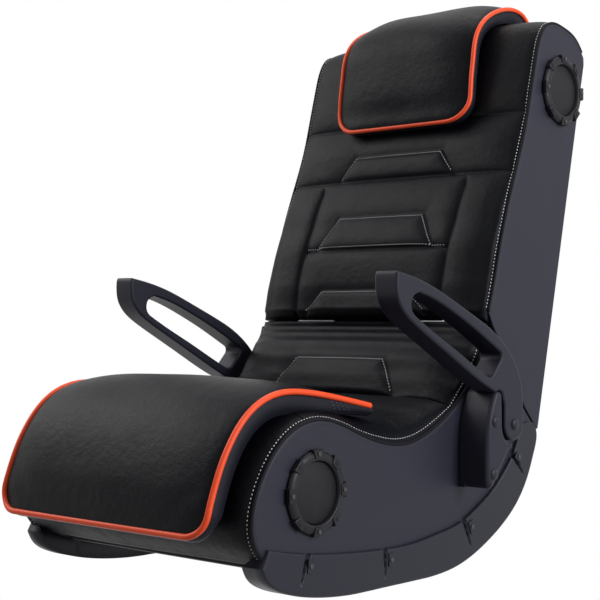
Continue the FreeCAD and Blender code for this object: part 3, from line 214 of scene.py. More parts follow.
STITCH_STEP = 5.0
STITCH_LONG = 2.1
STITCH_THICK = 0.52


def stitches(name, lines, thick=STITCH_THICK):
    """Short threads along lines that already lie on a surface."""
    verts = []
    faces = []
    for line in lines:
        spots = along(line, STITCH_STEP / 4.0)
        for i in range(2, len(spots) - 2, 4):
            middle = spots[i]
            way = spots[i + 1] - spots[i - 1]
            way = way / np.linalg.norm(way)
            side = np.cross(way, [0.31, 0.73, 0.61])
            side /= np.linalg.norm(side)
            other = np.cross(way, side)
            start = len(verts)
            for reach, wide in ((-0.5, 0.35), (-0.36, 0.9), (0.0, 1.0), (0.36, 0.9), (0.5, 0.35)):
                for k in range(6):
                    a = math.pi * k / 3
                    verts.append(middle + way * reach * STITCH_LONG
                                 + (side * math.cos(a) + other * math.sin(a)) * thick * wide)
            faces += grid_faces(5, 6, start=start)
            faces.append(tuple(start + k for k in range(6))[::-1])
            faces.append(tuple(start + 24 + k for k in range(6)))
    return face_out(mesh(name, verts, faces))


# Materials
def material(name, color, rough, bump=(), rough_vary=0.0, spec=0.5):
    """A plain material whose surface is roughened by noises, each given as kind, scale and height."""
    mat = bpy.data.materials.new(name)
    mat.use_nodes = True
    tree = mat.node_tree
    shader = tree.nodes["Principled BSDF"]
    shader.inputs["Base Color"].default_value = (*color, 1.0)
    shader.inputs["Roughness"].default_value = rough
    shader.inputs["Specular IOR Level"].default_value = spec
    place = tree.nodes.new("ShaderNodeTexCoord")
    if rough_vary:
        noise = tree.nodes.new("ShaderNodeTexNoise")
        noise.inputs["Scale"].default_value = 22.0
        noise.inputs["Detail"].default_value = 5.0
        tree.links.new(place.outputs["Object"], noise.inputs["Vector"])
        spread = tree.nodes.new("ShaderNodeMapRange")
        spread.inputs["To Min"].default_value = rough - rough_vary
        spread.inputs["To Max"].default_value = rough + rough_vary
        tree.links.new(noise.outputs["Fac"], spread.inputs["Value"])
        tree.links.new(spread.outputs["Result"], shader.inputs["Roughness"])
    normal = None
    for kind, scale, distance in bump:
        if kind == "noise":
            tex = tree.nodes.new("ShaderNodeTexNoise")
            tex.inputs["Detail"].default_value = 6.0
            tex.inputs["Roughness"].default_value = 0.6
            output = tex.outputs["Fac"]
        else:
            tex = tree.nodes.new("ShaderNodeTexVoronoi")
            tex.feature = "SMOOTH_F1" if kind == "grain" else "DISTANCE_TO_EDGE"
            output = tex.outputs["Distance"]
        tex.inputs["Scale"].default_value = scale
        tree.links.new(place.outputs["Object"], tex.inputs["Vector"])
        node = tree.nodes.new("ShaderNodeBump")
        node.inputs["Strength"].default_value = 1.0
        node.inputs["Distance"].default_value = distance
        tree.links.new(output, node.inputs["Height"])
        if normal is not None:
            tree.links.new(normal, node.inputs["Normal"])
        normal = node.outputs["Normal"]
    if normal is not None:
        tree.links.new(normal, shader.inputs["Normal"])
    return mat


LEATHER = material("leather", (0.0024, 0.0027, 0.0042), 0.40,
                   (("noise", 26.0, 0.0014), ("noise", 90.0, 0.0007), ("cell", 520.0, 0.00042)),
                   rough_vary=0.05, spec=0.075)
VINYL = material("vinyl", (0.0125, 0.0125, 0.0225), 0.50,
                 (("noise", 60.0, 0.00025), ("grain", 900.0, 0.0001)),
                 rough_vary=0.04, spec=0.22)
GUSSET = material("gusset", (0.0080, 0.0080, 0.0130), 0.52,
                  (("noise", 70.0, 0.0005), ("cell", 700.0, 0.0002)), spec=0.12)
WELT = material("welt", (0.005, 0.005, 0.007), 0.60, (("noise", 300.0, 0.0002),), spec=0.1)
PIPING = material("piping", (0.86, 0.085, 0.022), 0.42, (("noise", 260.0, 0.00025),), spec=0.2)
THREAD = material("thread", (0.85, 0.85, 0.85), 0.62, (("noise", 900.0, 0.0002),))
PLASTIC = material("plastic", (0.0120, 0.0120, 0.0205), 0.46, (("noise", 1400.0, 0.00008),),
                   rough_vary=0.03, spec=0.18)
RAILS = material("rail_plastic", (0.0125, 0.0127, 0.0205), 0.42, (("noise", 1200.0, 0.00008),),
                 rough_vary=0.03, spec=0.2)
BLACK = material("black_plastic", (0.006, 0.006, 0.0085), 0.42, (("noise", 1500.0, 0.00006),), spec=0.2)
GRILLE = material("grille", (0.005, 0.005, 0.007), 0.42, (("cell", 900.0, 0.0004),), spec=0.15)
SCREW = material("screw", (0.020, 0.020, 0.022), 0.34)
STEEL = material("steel", (0.42, 0.42, 0.43), 0.30)
BOARD = material("board", (0.30, 0.21, 0.13), 0.6, (("noise", 80.0, 0.0004),))
CLOTH = material("cloth", (0.012, 0.012, 0.014), 0.85, (("noise", 800.0, 0.0004),))
RUBBER = material("rubber", (0.012, 0.012, 0.012), 0.75)
BRASS = material("brass", (0.55, 0.40, 0.16), 0.3)
for metal in (BRASS, STEEL):
    metal.node_tree.nodes["Principled BSDF"].inputs["Metallic"].default_value = 1.0


def dress(obj, mat, body, slot, *replaced):
    """Gives a piece its material and body, and hides the solids it stands for; the slot is not used."""
    obj.data.materials.clear()
    obj.data.materials.append(mat)
    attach(obj, body)
    if replaced:
        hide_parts(*replaced)
    return obj


def soften(obj, width, segments=3, angle=35.0):
    """Rounds the edges of a piece by a width in millimetres."""
    mod = obj.modifiers.new("edge", "BEVEL")
    mod.width = width / 1000.0
    mod.segments = segments
    mod.limit_method = "ANGLE"
    mod.angle_limit = math.radians(angle)
    mod.harden_normals = False
    mod.use_clamp_overlap = True
    return obj


# Lengths along the outlines at which the seams run
S_FIRST = BACK.find(281, 637)
S_SECOND = BACK.find(247, 548)
S_MID = BACK.find(207, 436)
S_CREASE = BACK.find(177, 338)
S_ROLL = BASE.find(-196, 216)
S_SEAT = BASE.find(95, 217)
# Crowns of the covers: height above the side seam, by length along the outline
BACK_CROWN = [(0.0, 4.0), (S_CREASE - 3.0, 5.0), (S_CREASE + 2.0, 14.0), (S_CREASE + 9.0, 21.0),
              (BACK.find(192, 386), 27.5), (BACK.find(205, 430), 28.0),
              (BACK.find(222, 484), 21.0), (S_SECOND, 15.0), (BACK.find(262, 585), 14.0), (S_FIRST, 11.0),
              (BACK.find(301, 715), 10.0), (BACK.find(327, 768), 8.0), (BACK.find(377, 772), 7.0),
              (BACK.find(427, 744), 3.0)]
BASE_CROWN = [(0.0, 3.0), (BASE.find(-291, 112), 12.0), (BASE.find(-208, 213), 12.0),
              (BASE.find(-165, 217), 14.0), (BASE.find(-110, 200), 24.0), (BASE.find(-50, 181), 35.0),
              (BASE.find(0, 178), 36.0), (BASE.find(48, 192), 31.0), (BASE.find(97, 219), 25.0),
              (BASE.find(120, 238), 33.0), (BASE.find(143, 262), 40.0), (BASE.find(158, 287), 35.0),
              (BASE.find(166, 306), 26.0), (BASE.find(171, 319), 18.0), (BASE.find(175, 331), 8.0)]


def pinch(d, depth, reach):
    """The dip of a cover at a sewn seam."""
    d = np.abs(d)
    return -depth * (0.72 * np.exp(-d / reach) + 0.28 * np.exp(-(d / 1.6) ** 2))


def wave(s, x, seed, size):
    """A slow uneven swell of a filled surface."""
    rng = np.random.RandomState(seed)
    total = np.zeros(np.broadcast(s, x).shape)
    for _ in range(9):
        ks, kx = rng.uniform(-0.045, 0.045, 2)
        total += np.sin(ks * s + kx * x + rng.uniform(0, 6.28))
    return total / 4.0 * size


def trapezoid(s, x, s_top, s_low, half_top, half_low, rise=5.0, border=4.6):
    """A quilted trapezoid: a sewn border and a raised middle, open at its lower side."""
    wide = half_low + (half_top - half_low) * (s - s_low) / (s_top - s_low)
    slope = (half_low - half_top) / abs(s_top - s_low)
    d = np.minimum(s_top - s, (wide - np.abs(x)) / math.sqrt(1 + slope * slope))
    inside = -border * np.exp(-np.clip(d, 0, None) / 4.0) + rise * (1 - np.exp(-np.clip(d, 0, None) / 13.0))
    outside = -border * np.exp(np.clip(d, None, 0) / 15.0)
    return np.where(d > 0, inside, outside) * smooth((s - s_low + 3.0) / 6.0)


# Each trapezoid's upper and lower length along the outline, and its half widths there
TRAPS_BACK = [(BACK.find(262, 584) + 1.0, S_SECOND, 83.0, 111.0), (BACK.find(225, 486), S_MID, 81.0, 111.0),
              (BACK.find(188.5, 373), S_CREASE - 1.0, 82.0, 117.0)]
TRAP_SEAT = (BASE.find(141, 258), S_SEAT + 1.0, 84.0, 117.0)
VERTICAL = 137.0  # X of the two upright seams of the back


def section(t, power=10.0):
    """The crown of a cover from side to side."""
    t = np.abs(t)
    return (1.0 - t ** power) ** 0.8 * (0.87 + 0.13 * (1.0 - t * t))


def edge_fade(t):
    """1 over most of a cover's width, down to 0 at the side seams."""
    return 1.0 - np.abs(t) ** 9


def back_height(s, x):
    """Height of the back cover above its outline."""
    t = np.clip(x / HALF, -1, 1)
    edge = edge_fade(t)
    h = table(BACK_CROWN, s) * section(t)
    h = h + (pinch(s - S_FIRST, 8.0, 10.0) + pinch(s - S_SECOND, 9.0, 10.0)) * (0.25 + 0.75 * edge)
    below = smooth((S_SECOND - s) / 22.0)
    for centre in (-VERTICAL, VERTICAL):
        h = h + pinch(x - centre, 8.0, 9.0) * below * edge
    inner = smooth((VERTICAL - np.abs(x)) / 4.0 + 0.5)
    h = h + pinch(s - S_MID, 8.0, 9.0) * inner
    for i, (s_top, s_low, half_top, half_low) in enumerate(TRAPS_BACK):
        h = h + trapezoid(s, x, s_top, s_low, half_top, half_low) * (edge if i == 0 else inner)
    puff = 3.0 * np.exp(-((s - (S_FIRST + S_SECOND) / 2) / 26.0) ** 2) * edge
    return h + puff + wave(s, x, 3, 0.9) * edge


def base_height(s, x):
    """Height of the seat and lumbar covers above their outline."""
    t = np.clip(x / HALF, -1, 1)
    edge = edge_fade(t)
    h = table(BASE_CROWN, s) * section(t, 12.0)
    h = h + pinch(s - S_SEAT, 10.0, 11.0) * (0.2 + 0.8 * edge)
    h = h + trapezoid(s, x, *TRAP_SEAT) * edge * smooth((s - S_SEAT) / 5.0 + 0.5)
    return h + wave(s, x, 5, 0.9) * edge


def spread(number, tight=0.35):
    """Steps from -1 to 1 that crowd together near both ends."""
    line = np.linspace(-1, 1, number)
    return (1 - tight) * line + tight * np.sin(line * math.pi / 2)


def side_swell(path, s):
    """How far the cover bulges past its side seam."""
    if path is BACK:
        swell = table([(0, 0.0), (S_CREASE + 4, 2.0), (S_CREASE + 14, 5.5), (BACK.find(190, 379), 6.5),
                       (BACK.find(214, 457), 4.5), (S_SECOND, 1.0), (S_FIRST, 0.5), (BACK.length, 0.0)], s)
        return swell * (1 - 0.8 * np.exp(-np.abs(s - S_SECOND) / 12.0)) + 1.2
    return table([(0, 0.5), (S_ROLL, 1.0), (BASE.find(0, 178), 1.0), (S_SEAT, 2.0),
                  (BASE.find(160, 290), 4.0), (BASE.length, 0.5)], s)


def surface(path, height, s, x, extra=0.0):
    """A point on a cover, raised by extra."""
    s, x = np.broadcast_arrays(np.asarray(s, float), np.asarray(x, float))
    y, z = path.at(s, height(s, x) + extra)
    t = x / HALF
    out = x + np.sign(x) * side_swell(path, s) * np.exp(-((np.abs(t) - 0.955) / 0.035) ** 2)
    return np.stack([out, y, z], axis=-1)


def cover(name, path, height, start, end, step=2.2, cols=190, under=13.0):
    """A closed padded cover between two lengths of an outline."""
    rows = int((end - start) / step)
    s = np.linspace(start, end, rows)
    x = spread(cols) * HALF
    top = surface(path, height, s[:, None], x[None, :])
    low_x = np.array([HALF - 0.5, HALF - 6.0, -(HALF - 6.0), -(HALF - 0.5)])
    low_lift = np.array([-under * 0.6, -under, -under, -under * 0.6])
    y, z = path.at(np.repeat(s[:, None], 4, axis=1), low_lift[None, :])
    low = np.stack([np.broadcast_to(low_x, y.shape), y, z], axis=-1)
    points = np.concatenate([top, low], axis=1)
    total = cols + 4
    faces = grid_faces(rows, total)
    faces.append(tuple(range(total)))
    faces.append(tuple(range((rows - 1) * total, rows * total))[::-1])
    return face_out(mesh(name, points.reshape(-1, 3), faces))


back_cover = cover("back_cover", BACK, back_height, S_CREASE - 2.5, BACK.find(436, 731), cols=210)
dress(back_cover, LEATHER, "backrest", "back_cover", "back_cushion")
front_cover = cover("front_roll_cover", BASE, base_height, 0.0, S_ROLL, step=3.0, cols=120)
dress(front_cover, LEATHER, "base", "cover_black", "front_roll")
seat_cover = cover("seat_cover", BASE, base_height, S_ROLL, S_SEAT, step=2.6, cols=150)
dress(seat_cover, LEATHER, "base", "cover_black", "seat_cushion")
lumbar_cover = cover("lumbar_cover", BASE, base_height, S_SEAT, BASE.find(175.5, 332), step=2.0, cols=190)
dress(lumbar_cover, LEATHER, "base", "cover_black", "lumbar_cushion")


# Pads laid along an outline: a crowned top, a rounded border at the piping and a side band
def plan_border(half, start, end, radius_start, radius_end, step=3.0):
    """A rounded rectangle in X and length, starting on the middle of the start edge."""
    points = []

    def corner(cx, cs, radius, first, turn):
        count = max(3, int(radius * math.pi / 2 / step))
        for i in range(count + 1):
            a = first + turn * i / count
            points.append((cx + radius * math.cos(a), cs + radius * math.sin(a)))

    corner(half - radius_end, end - radius_end, radius_end, 0.0, math.pi / 2)
    corner(-half + radius_end, end - radius_end, radius_end, math.pi / 2, math.pi / 2)
    corner(-half + radius_start, start + radius_start, radius_start, math.pi, math.pi / 2)
    corner(half - radius_start, start + radius_start, radius_start, 1.5 * math.pi, math.pi / 2)
    loop = np.array(points + points[:1])
    run = np.concatenate([[0], np.cumsum(np.hypot(*np.diff(loop, axis=0).T))])
    at = np.linspace(0, run[-1], int(run[-1] / step), endpoint=False)
    return np.stack([np.interp(at, run, loop[:, 0]), np.interp(at, run, loop[:, 1])], axis=1)


def border_frame(border):
    """Outward directions of a border in its own plane."""
    step = np.roll(border, -1, axis=0) - np.roll(border, 1, axis=0)
    step /= np.hypot(step[:, 0], step[:, 1])[:, None]
    return np.stack([step[:, 1], -step[:, 0]], axis=1)


RINGS = 34  # rows of points in the face of a pad


def pad(name, path, border, top, band, bulge):
    """top(x, s, d) lifts the face; band(s) is the side's depth; bulge is how far the side swells out."""
    centre = np.array([0.0, (border[:, 1].min() + border[:, 1].max()) / 2])
    out = border_frame(border)
    count = len(border)
    shares = 1 - (1 - np.linspace(0, 1, RINGS)) ** 1.7
    layers = []
    for share in shares:
        spot = centre + (border - centre) * share
        d = np.hypot(*(border - spot).T)
        x, s = spot[:, 0], spot[:, 1]
        y, z = path.at(s, top(x, s, d))
        layers.append(np.stack([x, y, z], axis=1))
    for share in (0.08, 0.2, 0.35, 0.5, 0.65, 0.8, 0.92, 1.0):
        swell = bulge * math.sin(math.pi * min(1.0, share * 1.05)) - 2.5 * share ** 6
        spot = border + out * swell
        y, z = path.at(spot[:, 1], -band(border[:, 1]) * share)
        layers.append(np.stack([spot[:, 0], y, z], axis=1))
    for inset, deeper in ((3.0, 1.2), (9.0, 1.6), (40.0, 0.0)):
        spot = border - out * inset
        y, z = path.at(spot[:, 1], -band(border[:, 1]) - deeper)
        layers.append(np.stack([spot[:, 0], y, z], axis=1))
    points = np.concatenate(layers)
    faces = grid_faces(len(layers), count)
    faces.append(tuple(range((len(layers) - 1) * count, len(layers) * count)))
    return face_out(mesh(name, points, faces))


def two_tone(obj, border, side_material):
    """Gives the side of a pad its own material."""
    obj.data.materials.append(side_material)
    for poly in obj.data.polygons:
        if min(poly.vertices) // len(border) >= RINGS - 1:
            poly.material_index = 1


# Leg pad
PAD = Path([(-346, 92), (-342, 100), (-338.5, 115), (-331, 139), (-319, 168), (-300, 200),
            (-268, 232), (-224, 249), (-178, 249), (-113, 239), (-43, 225)])
PAD_TAIL = PAD.length
PAD_HALF = 189.0
PAD_CORD = 3.8
CORD_END = 7.0  # how far before a pad's rear edge its cord stops
pad_border = plan_border(PAD_HALF, 0.0, PAD_TAIL, 30.0, 3.0)


def pad_top(x, s, d):
    """Lift of the leg pad's face; d is the distance to its border."""
    across = 1 - (np.abs(x) / PAD_HALF) ** 4
    lengthways = smooth((PAD_TAIL - s) / 26.0) * (0.35 + 0.65 * smooth(s / 60.0))
    h = 13.0 * across * lengthways + 2.0
    h = h - 4.0 * np.exp(-d / 4.5)
    corner = np.exp(-(((np.abs(x) - 168.0) / 34.0) ** 2 + ((s - 26.0) / 34.0) ** 2))
    fold = np.sin((np.abs(x) * 0.55 - s * 0.62) / 5.2)
    return h + 0.75 * fold * corner * smooth(d / 5.0) + wave(s, x, 11, 0.9) * smooth(d / 14.0)


def pad_band(s):
    """Depth of the leg pad's side."""
    side = 11.0 + 15.0 * smooth((PAD_TAIL - s) / 130.0)
    front = smooth((34.0 - s) / 30.0)
    return side * (1 - front) + 21.0 * front


leg_pad = pad("leg_pad_cover", PAD, pad_border, pad_top, pad_band, 3.0)
dress(leg_pad, LEATHER, "base", "cover_black", "leg_pad")
two_tone(leg_pad, pad_border, GUSSET)


def border_line(path, border, lift, shift):
    """A line that follows a pad's border, lifted and moved outwards."""
    out = border_frame(border)
    spot = border + out * shift
    y, z = path.at(spot[:, 1], lift)
    return np.stack([spot[:, 0], y, z], axis=1)


def open_run(border, line, limit):
    """The part of a closed border line that lies before the limit, in order."""
    keep = border[:, 1] < limit
    start = next(i for i in range(len(line)) if keep[i] and not keep[i - 1])
    order = [(start + i) % len(line) for i in range(len(line))]
    return line[[i for i in order if keep[i]]]


# Four short slanting seams on each side of the leg pad, near its tail
pad_seams = []
for sign in (1.0, -1.0):
    for k in range(4):
        drop = np.linspace(0.18, 0.9, 14)
        at = PAD_TAIL - 46.0 - 9.0 * k - 16.0 * (1 - drop)
        y, z = PAD.at(at, -pad_band(at) * drop)
        swell = 3.1 * np.sin(math.pi * np.minimum(1, drop * 1.05))
        pad_seams.append(np.stack([sign * (PAD_HALF + swell), y, z], axis=1))
GREY_THREAD = material("grey_thread", (0.10, 0.10, 0.12), 0.6)
dress(stitches("leg_pad_side_stitches", pad_seams, 0.45), GREY_THREAD, "base", "cover_black")
line = border_line(PAD, pad_border, 0.4, 1.6)
pad_run = open_run(pad_border, line, PAD_TAIL - CORD_END)
pad_piping = tube("leg_pad_cord", along(pad_run, 2.5), PAD_CORD, 16)
dress(pad_piping, PIPING, "base", "piping_orange", "leg_pad_piping")

# Head pillow
PILLOW = Path([(250, 632), (258, 655), (262, 690), (267, 722), (274, 754), (290, 778),
               (314, 795), (345, 807), (378, 811), (402, 805), (418, 790)])
PILLOW_END = PILLOW.length
PILLOW_HALF = 125.0
PILLOW_CORD = 3.3
pillow_border = plan_border(PILLOW_HALF, 0.0, PILLOW_END, 36.0, 8.0, step=2.4)


def pillow_top(x, s, d):
    """Lift of the head pillow's face; d is the distance to its border."""
    across = 1 - (np.abs(x) / PILLOW_HALF) ** 4
    lengthways = 0.45 + 0.55 * smooth(s / 50.0) * (0.5 + 0.5 * smooth((PILLOW_END - s) / 60.0))
    h = 13.0 * across * lengthways + 1.5 - 4.0 * np.exp(-d / 4.0)
    return h + wave(s * 1.6, x * 1.6, 21, 1.0) * smooth(d / 12.0)


def pillow_band(s):
    """Depth of the head pillow's side."""
    return 19.0 + 14.0 * smooth((s - PILLOW_END + 60.0) / 60.0)


head_pillow = pad("head_pillow_cover", PILLOW, pillow_border, pillow_top, pillow_band, 2.5)
dress(head_pillow, LEATHER, "backrest", "pillow_cover", "head_pillow")
two_tone(head_pillow, pillow_border, GUSSET)
line = border_line(PILLOW, pillow_border, 0.3, 1.4)
pillow_run = open_run(pillow_border, line, PILLOW_END - CORD_END)
pillow_piping = tube("head_pillow_cord", along(pillow_run, 2.0), PILLOW_CORD, 16)
dress(pillow_piping, PIPING, "backrest", "piping_orange", "head_pillow_piping")


# Side panels: boards wrapped in thin padding and vinyl
def outline_prism(name, outline, x_in, x_out, round_by):
    """A flat piece from a closed outline in Y and Z, with rounded rims."""
    n = len(outline)
    verts = [(x_in, y, z) for y, z in outline] + [(x_out, y, z) for y, z in outline]
    faces = [tuple(range(n)), tuple(range(n, 2 * n))[::-1]]
    faces += grid_faces(2, n)
    obj = soften(face_out(mesh(name, verts, faces)), round_by, 4, 40.0)
    weighted = obj.modifiers.new("normals", "WEIGHTED_NORMAL")
    weighted.keep_sharp = False
    weighted.weight = 100
    return obj


def path_points(path, start, end, lift):
    """Points some 6 mm apart along a part of a path."""
    s = np.linspace(start, end, max(2, int(abs(end - start) / 6.0)))
    y, z = path.at(s, lift)
    return list(zip(y.tolist(), z.tolist()))


# The lower edge of the base's panels, from front to rear
BOTTOM = Path([(-262, 54), (-225, 37), (-167, 27), (-75, 21), (22, 24), (73, 31), (125, 43), (179, 63),
               (215, 84), (245, 111), (260, 137), (267, 160), (269, 178)])
PANEL_IN = FACE - 14.0
PANEL_OUT = FACE + 1.2
FOLD = (181, 334)  # the back's axis
SPLIT_TURN = math.radians(51.66)  # slope of the line at which the base's and the back's panels part


def on_split(reach, side):
    """A point 2.5 mm to one side of the parting line, at a reach from the back's axis."""
    cos, sin = math.cos(SPLIT_TURN), math.sin(SPLIT_TURN)
    return FOLD[0] + cos * reach + side * 2.5 * sin, FOLD[1] - sin * reach + side * 2.5 * cos


base_outline = path_points(BASE, 0.0, BASE.find(174.5, 329), -1.2)
base_outline += [on_split(9.0, -1.0), on_split(60.0, -1.0), (266.0, 210.0), (294.5, 181.0), (292.0, 170.0)]
base_outline += path_points(BOTTOM, BOTTOM.length, 0.0, 0.0)
back_outline = path_points(BACK, BACK.find(179, 345), BACK.find(433, 735), -1.2)
back_outline += [(433.0, 724.0), (302.5, 178.5), (299.5, 178.0), (268.5, 211.5)]
back_outline += [on_split(60.0, 1.0), on_split(10.0, 1.0)]
for side, sign in (("left", 1.0), ("right", -1.0)):
    low, high = sorted((sign * PANEL_IN, sign * PANEL_OUT))
    panel = outline_prism("base_panel_" + side, base_outline, low, high, 2.6)
    dress(panel, VINYL, "base", "panel_slate", "base_side_" + side)
    panel = outline_prism("back_panel_" + side, back_outline, low, high, 3.2)
    dress(panel, VINYL, "backrest", "panel_slate", "back_side_" + side)

# Welts and stitches along the side seams
for name, path, start, end, body, node in (
        ("base_welt_", BASE, 8.0, BASE.find(173, 325), "base", "base_welts"),
        ("back_welt_", BACK, BACK.find(180.5, 348), BACK.find(428, 743), "backrest", "back_welts")):
    for side, sign in (("left", 1.0), ("right", -1.0)):
        for part, x, lift, radius, mat in (("outer", FACE + 0.4, -5.6, 1.1, VINYL),
                                           ("edge", FACE - 0.6, -0.2, 2.3, WELT)):
            s = np.linspace(start, end, int((end - start) / 4.0))
            y, z = path.at(s, lift)
            points = np.stack([np.full(len(s), sign * x), y, z], axis=1)
            dress(tube(name + part + "_" + side, points, radius, 10), mat, body, "welt_black", node)
    lines = []
    height = base_height if path is BASE else back_height
    for sign in (1.0, -1.0):
        s = np.linspace(start + 3, end - 3, int((end - start) / 2.0))
        lines.append(surface(path, height, s, np.full(len(s), sign * (HALF - SEAM_IN)), 0.5))
    dress(stitches(name + "stitches", lines), THREAD, body, "welt_black")


def trap_line(path, height, trap):
    """The stitched line just inside a trapezoid's border."""
    s_top, s_low, half_top, half_low = trap
    rise = 8.0 if trap is TRAPS_BACK[2] else 3.0  # the lowest one starts above the fold
    corners = [(s_low + rise, -half_low + 4.2), (s_top - 3.0, -half_top + 2.6),
               (s_top - 3.0, half_top - 2.6), (s_low + rise, half_low - 4.2)]
    points = []
    for (s0, x0), (s1, x1) in zip(corners, corners[1:]):
        share = np.linspace(0, 1, max(2, int(math.hypot(s1 - s0, x1 - x0))))
        points.append(surface(path, height, s0 + (s1 - s0) * share, x0 + (x1 - x0) * share, 0.45))
    return np.concatenate(points)


back_lines = [trap_line(BACK, back_height, trap) for trap in TRAPS_BACK]
across = np.linspace(-VERTICAL + 3, VERTICAL - 3, 260)
back_lines.append(surface(BACK, back_height, S_MID + 3.0, across, 0.4))
dress(stitches("back_panel_stitches", back_lines), THREAD, "backrest", "back_cover")
seat_lines = [trap_line(BASE, base_height, TRAP_SEAT)]
dress(stitches("seat_panel_stitches", seat_lines), THREAD, "base", "cover_black")

# Rails: moulded runners with tapered notches and raised screw plates
RAIL_TOP = [(-269, 73), (-229, 65), (-156, 55), (-66, 49), (0, 49), (53, 55), (113, 67), (142, 80),
            (178, 99), (209, 124), (240, 162), (254, 187), (280.5, 189.5)]
RAIL_LOW = [(-281, 52), (-273, 37), (-250, 22), (-213, 11), (-165, 3.5), (-120, 0.3), (-80, 0),
            (-20, 0), (30, 0), (60, 1.5), (90, 5.2), (120, 12.3), (150, 23.2), (179, 36.5),
            (205, 51), (230, 68.5), (252, 90), (270, 116), (283, 143), (290.5, 162),
            (291.5, 171), (287.5, 183)]
RAIL_OUT = 220.5
RAIL_IN = 186.5
top_path = Path(RAIL_TOP)
low_path = Path(RAIL_LOW)
# The rail's middle line, and the shares of its length at which the notches stand
MIDDLE = Path([(-250, 45), (-190, 36), (-100, 27), (0, 27), (90, 37), (170, 66), (225, 105), (262, 160)])
NOTCH_AT = (0.07, 0.345, 0.665, 0.935)
NOTCH_DEEP = 7.0


def rail_skin(name, sign):
    """A rail whose outer face is a relief between its lower and upper outlines."""
    rows, cols = 560, 40
    u = np.linspace(0, 1, rows)
    low_y, low_z = low_path.at(u * low_path.length)
    high_y, high_z = top_path.at(u * top_path.length)
    low_z = np.where((low_y > -121) & (low_y < 31), np.clip(low_z, 0.0, 0.3), low_z)
    share = np.linspace(0, 1, cols)
    y = low_y[:, None] + (high_y - low_y)[:, None] * share[None, :]
    z = low_z[:, None] + (high_z - low_z)[:, None] * share[None, :]
    depth = np.zeros(y.shape)
    middle_y, middle_z = (low_y + high_y) / 2, (low_z + high_z) / 2
    run = np.concatenate([[0], np.cumsum(np.hypot(np.diff(middle_y), np.diff(middle_z)))])
    for f in NOTCH_AT:
        cy, cz = MIDDLE.at(f * MIDDLE.length)
        at = run[np.argmin(np.hypot(middle_y - cy, middle_z - cz))]
        off = np.abs(run - at)[:, None]
        wide = 4.6 * np.clip((share - 0.22) / 0.78, 0, 1)[None, :]
        notch = NOTCH_DEEP * smooth((wide - off) / 1.4 + 0.5) * smooth((share - 0.2) / 0.1)[None, :]
        depth = np.maximum(depth, notch)
    rim = np.minimum(share, 1 - share)[None, :] * np.hypot(high_y - low_y, high_z - low_z)[:, None]
    ends = np.minimum(u, 1 - u)[:, None] * top_path.length
    rim = np.minimum(rim, ends)
    round_in = 2.2 * (1 - np.sqrt(np.clip(1 - (1 - np.clip(rim / 2.6, 0, 1)) ** 2, 0, 1)))
    outer = np.stack([RAIL_OUT - depth - round_in, y, z], axis=-1)
    inner = np.stack([np.full((rows, 2), RAIL_IN), y[:, [-1, 0]], z[:, [-1, 0]]], axis=-1)
    inner[:, 0, 0] = FACE + 0.3
    points = np.concatenate([outer, inner], axis=1)
    points[..., 0] *= sign
    total = cols + 2
    faces = grid_faces(rows, total)
    faces.append(tuple(range(total)))
    faces.append(tuple(range((rows - 1) * total, rows * total))[::-1])
    return face_out(mesh(name, points.reshape(-1, 3), faces))


BOX_FACES = [(0, 1, 3, 2), (4, 6, 7, 5), (0, 4, 5, 1), (2, 3, 7, 6), (0, 2, 6, 4), (1, 5, 7, 3)]


def rounded_box(name, centre, axes, size, round_by):
    """A box with rounded edges, its axes given as three directions."""
    verts = []
    for dx in (-1, 1):
        for dy in (-1, 1):
            for dz in (-1, 1):
                verts.append(np.array(centre) + axes[0] * dx * size[0] / 2 + axes[1] * dy * size[1] / 2
                             + axes[2] * dz * size[2] / 2)
    return soften(face_out(mesh(name, verts, BOX_FACES)), round_by)


def disc(name, x_in, x_out, y, z, radius, round_by):
    """A screw head."""
    sides = 20
    angles = np.linspace(0, 2 * math.pi, sides, endpoint=False)
    verts = [(x_in, y + radius * math.cos(a), z + radius * math.sin(a)) for a in angles]
    verts += [(x_out, y + radius * math.cos(a), z + radius * math.sin(a)) for a in angles]
    faces = grid_faces(2, sides)
    faces += [tuple(range(sides))[::-1], tuple(range(sides, 2 * sides))]
    return soften(face_out(mesh(name, verts, faces)), round_by, 3, 60.0)


def merge(name, pieces):
    """One piece from several, with their modifiers applied."""
    bpy.context.view_layer.update()
    graph = bpy.context.evaluated_depsgraph_get()
    verts, faces = [], []
    for piece in pieces:
        shown = piece.evaluated_get(graph)
        data = shown.to_mesh()
        start = len(verts)
        verts += [tuple(v.co) for v in data.vertices]
        faces += [tuple(start + i for i in poly.vertices) for poly in data.polygons]
        shown.to_mesh_clear()
    for piece in pieces:
        old = piece.data
        bpy.data.objects.remove(piece)
        bpy.data.meshes.remove(old)
    data = bpy.data.meshes.new(name)
    data.from_pydata(verts, [], faces)
    data.update()
    data.shade_smooth()
    obj = bpy.data.objects.new(name, data)
    bpy.context.scene.collection.objects.link(obj)
    obj.modifiers.new("normals", "WEIGHTED_NORMAL").weight = 80
    return obj


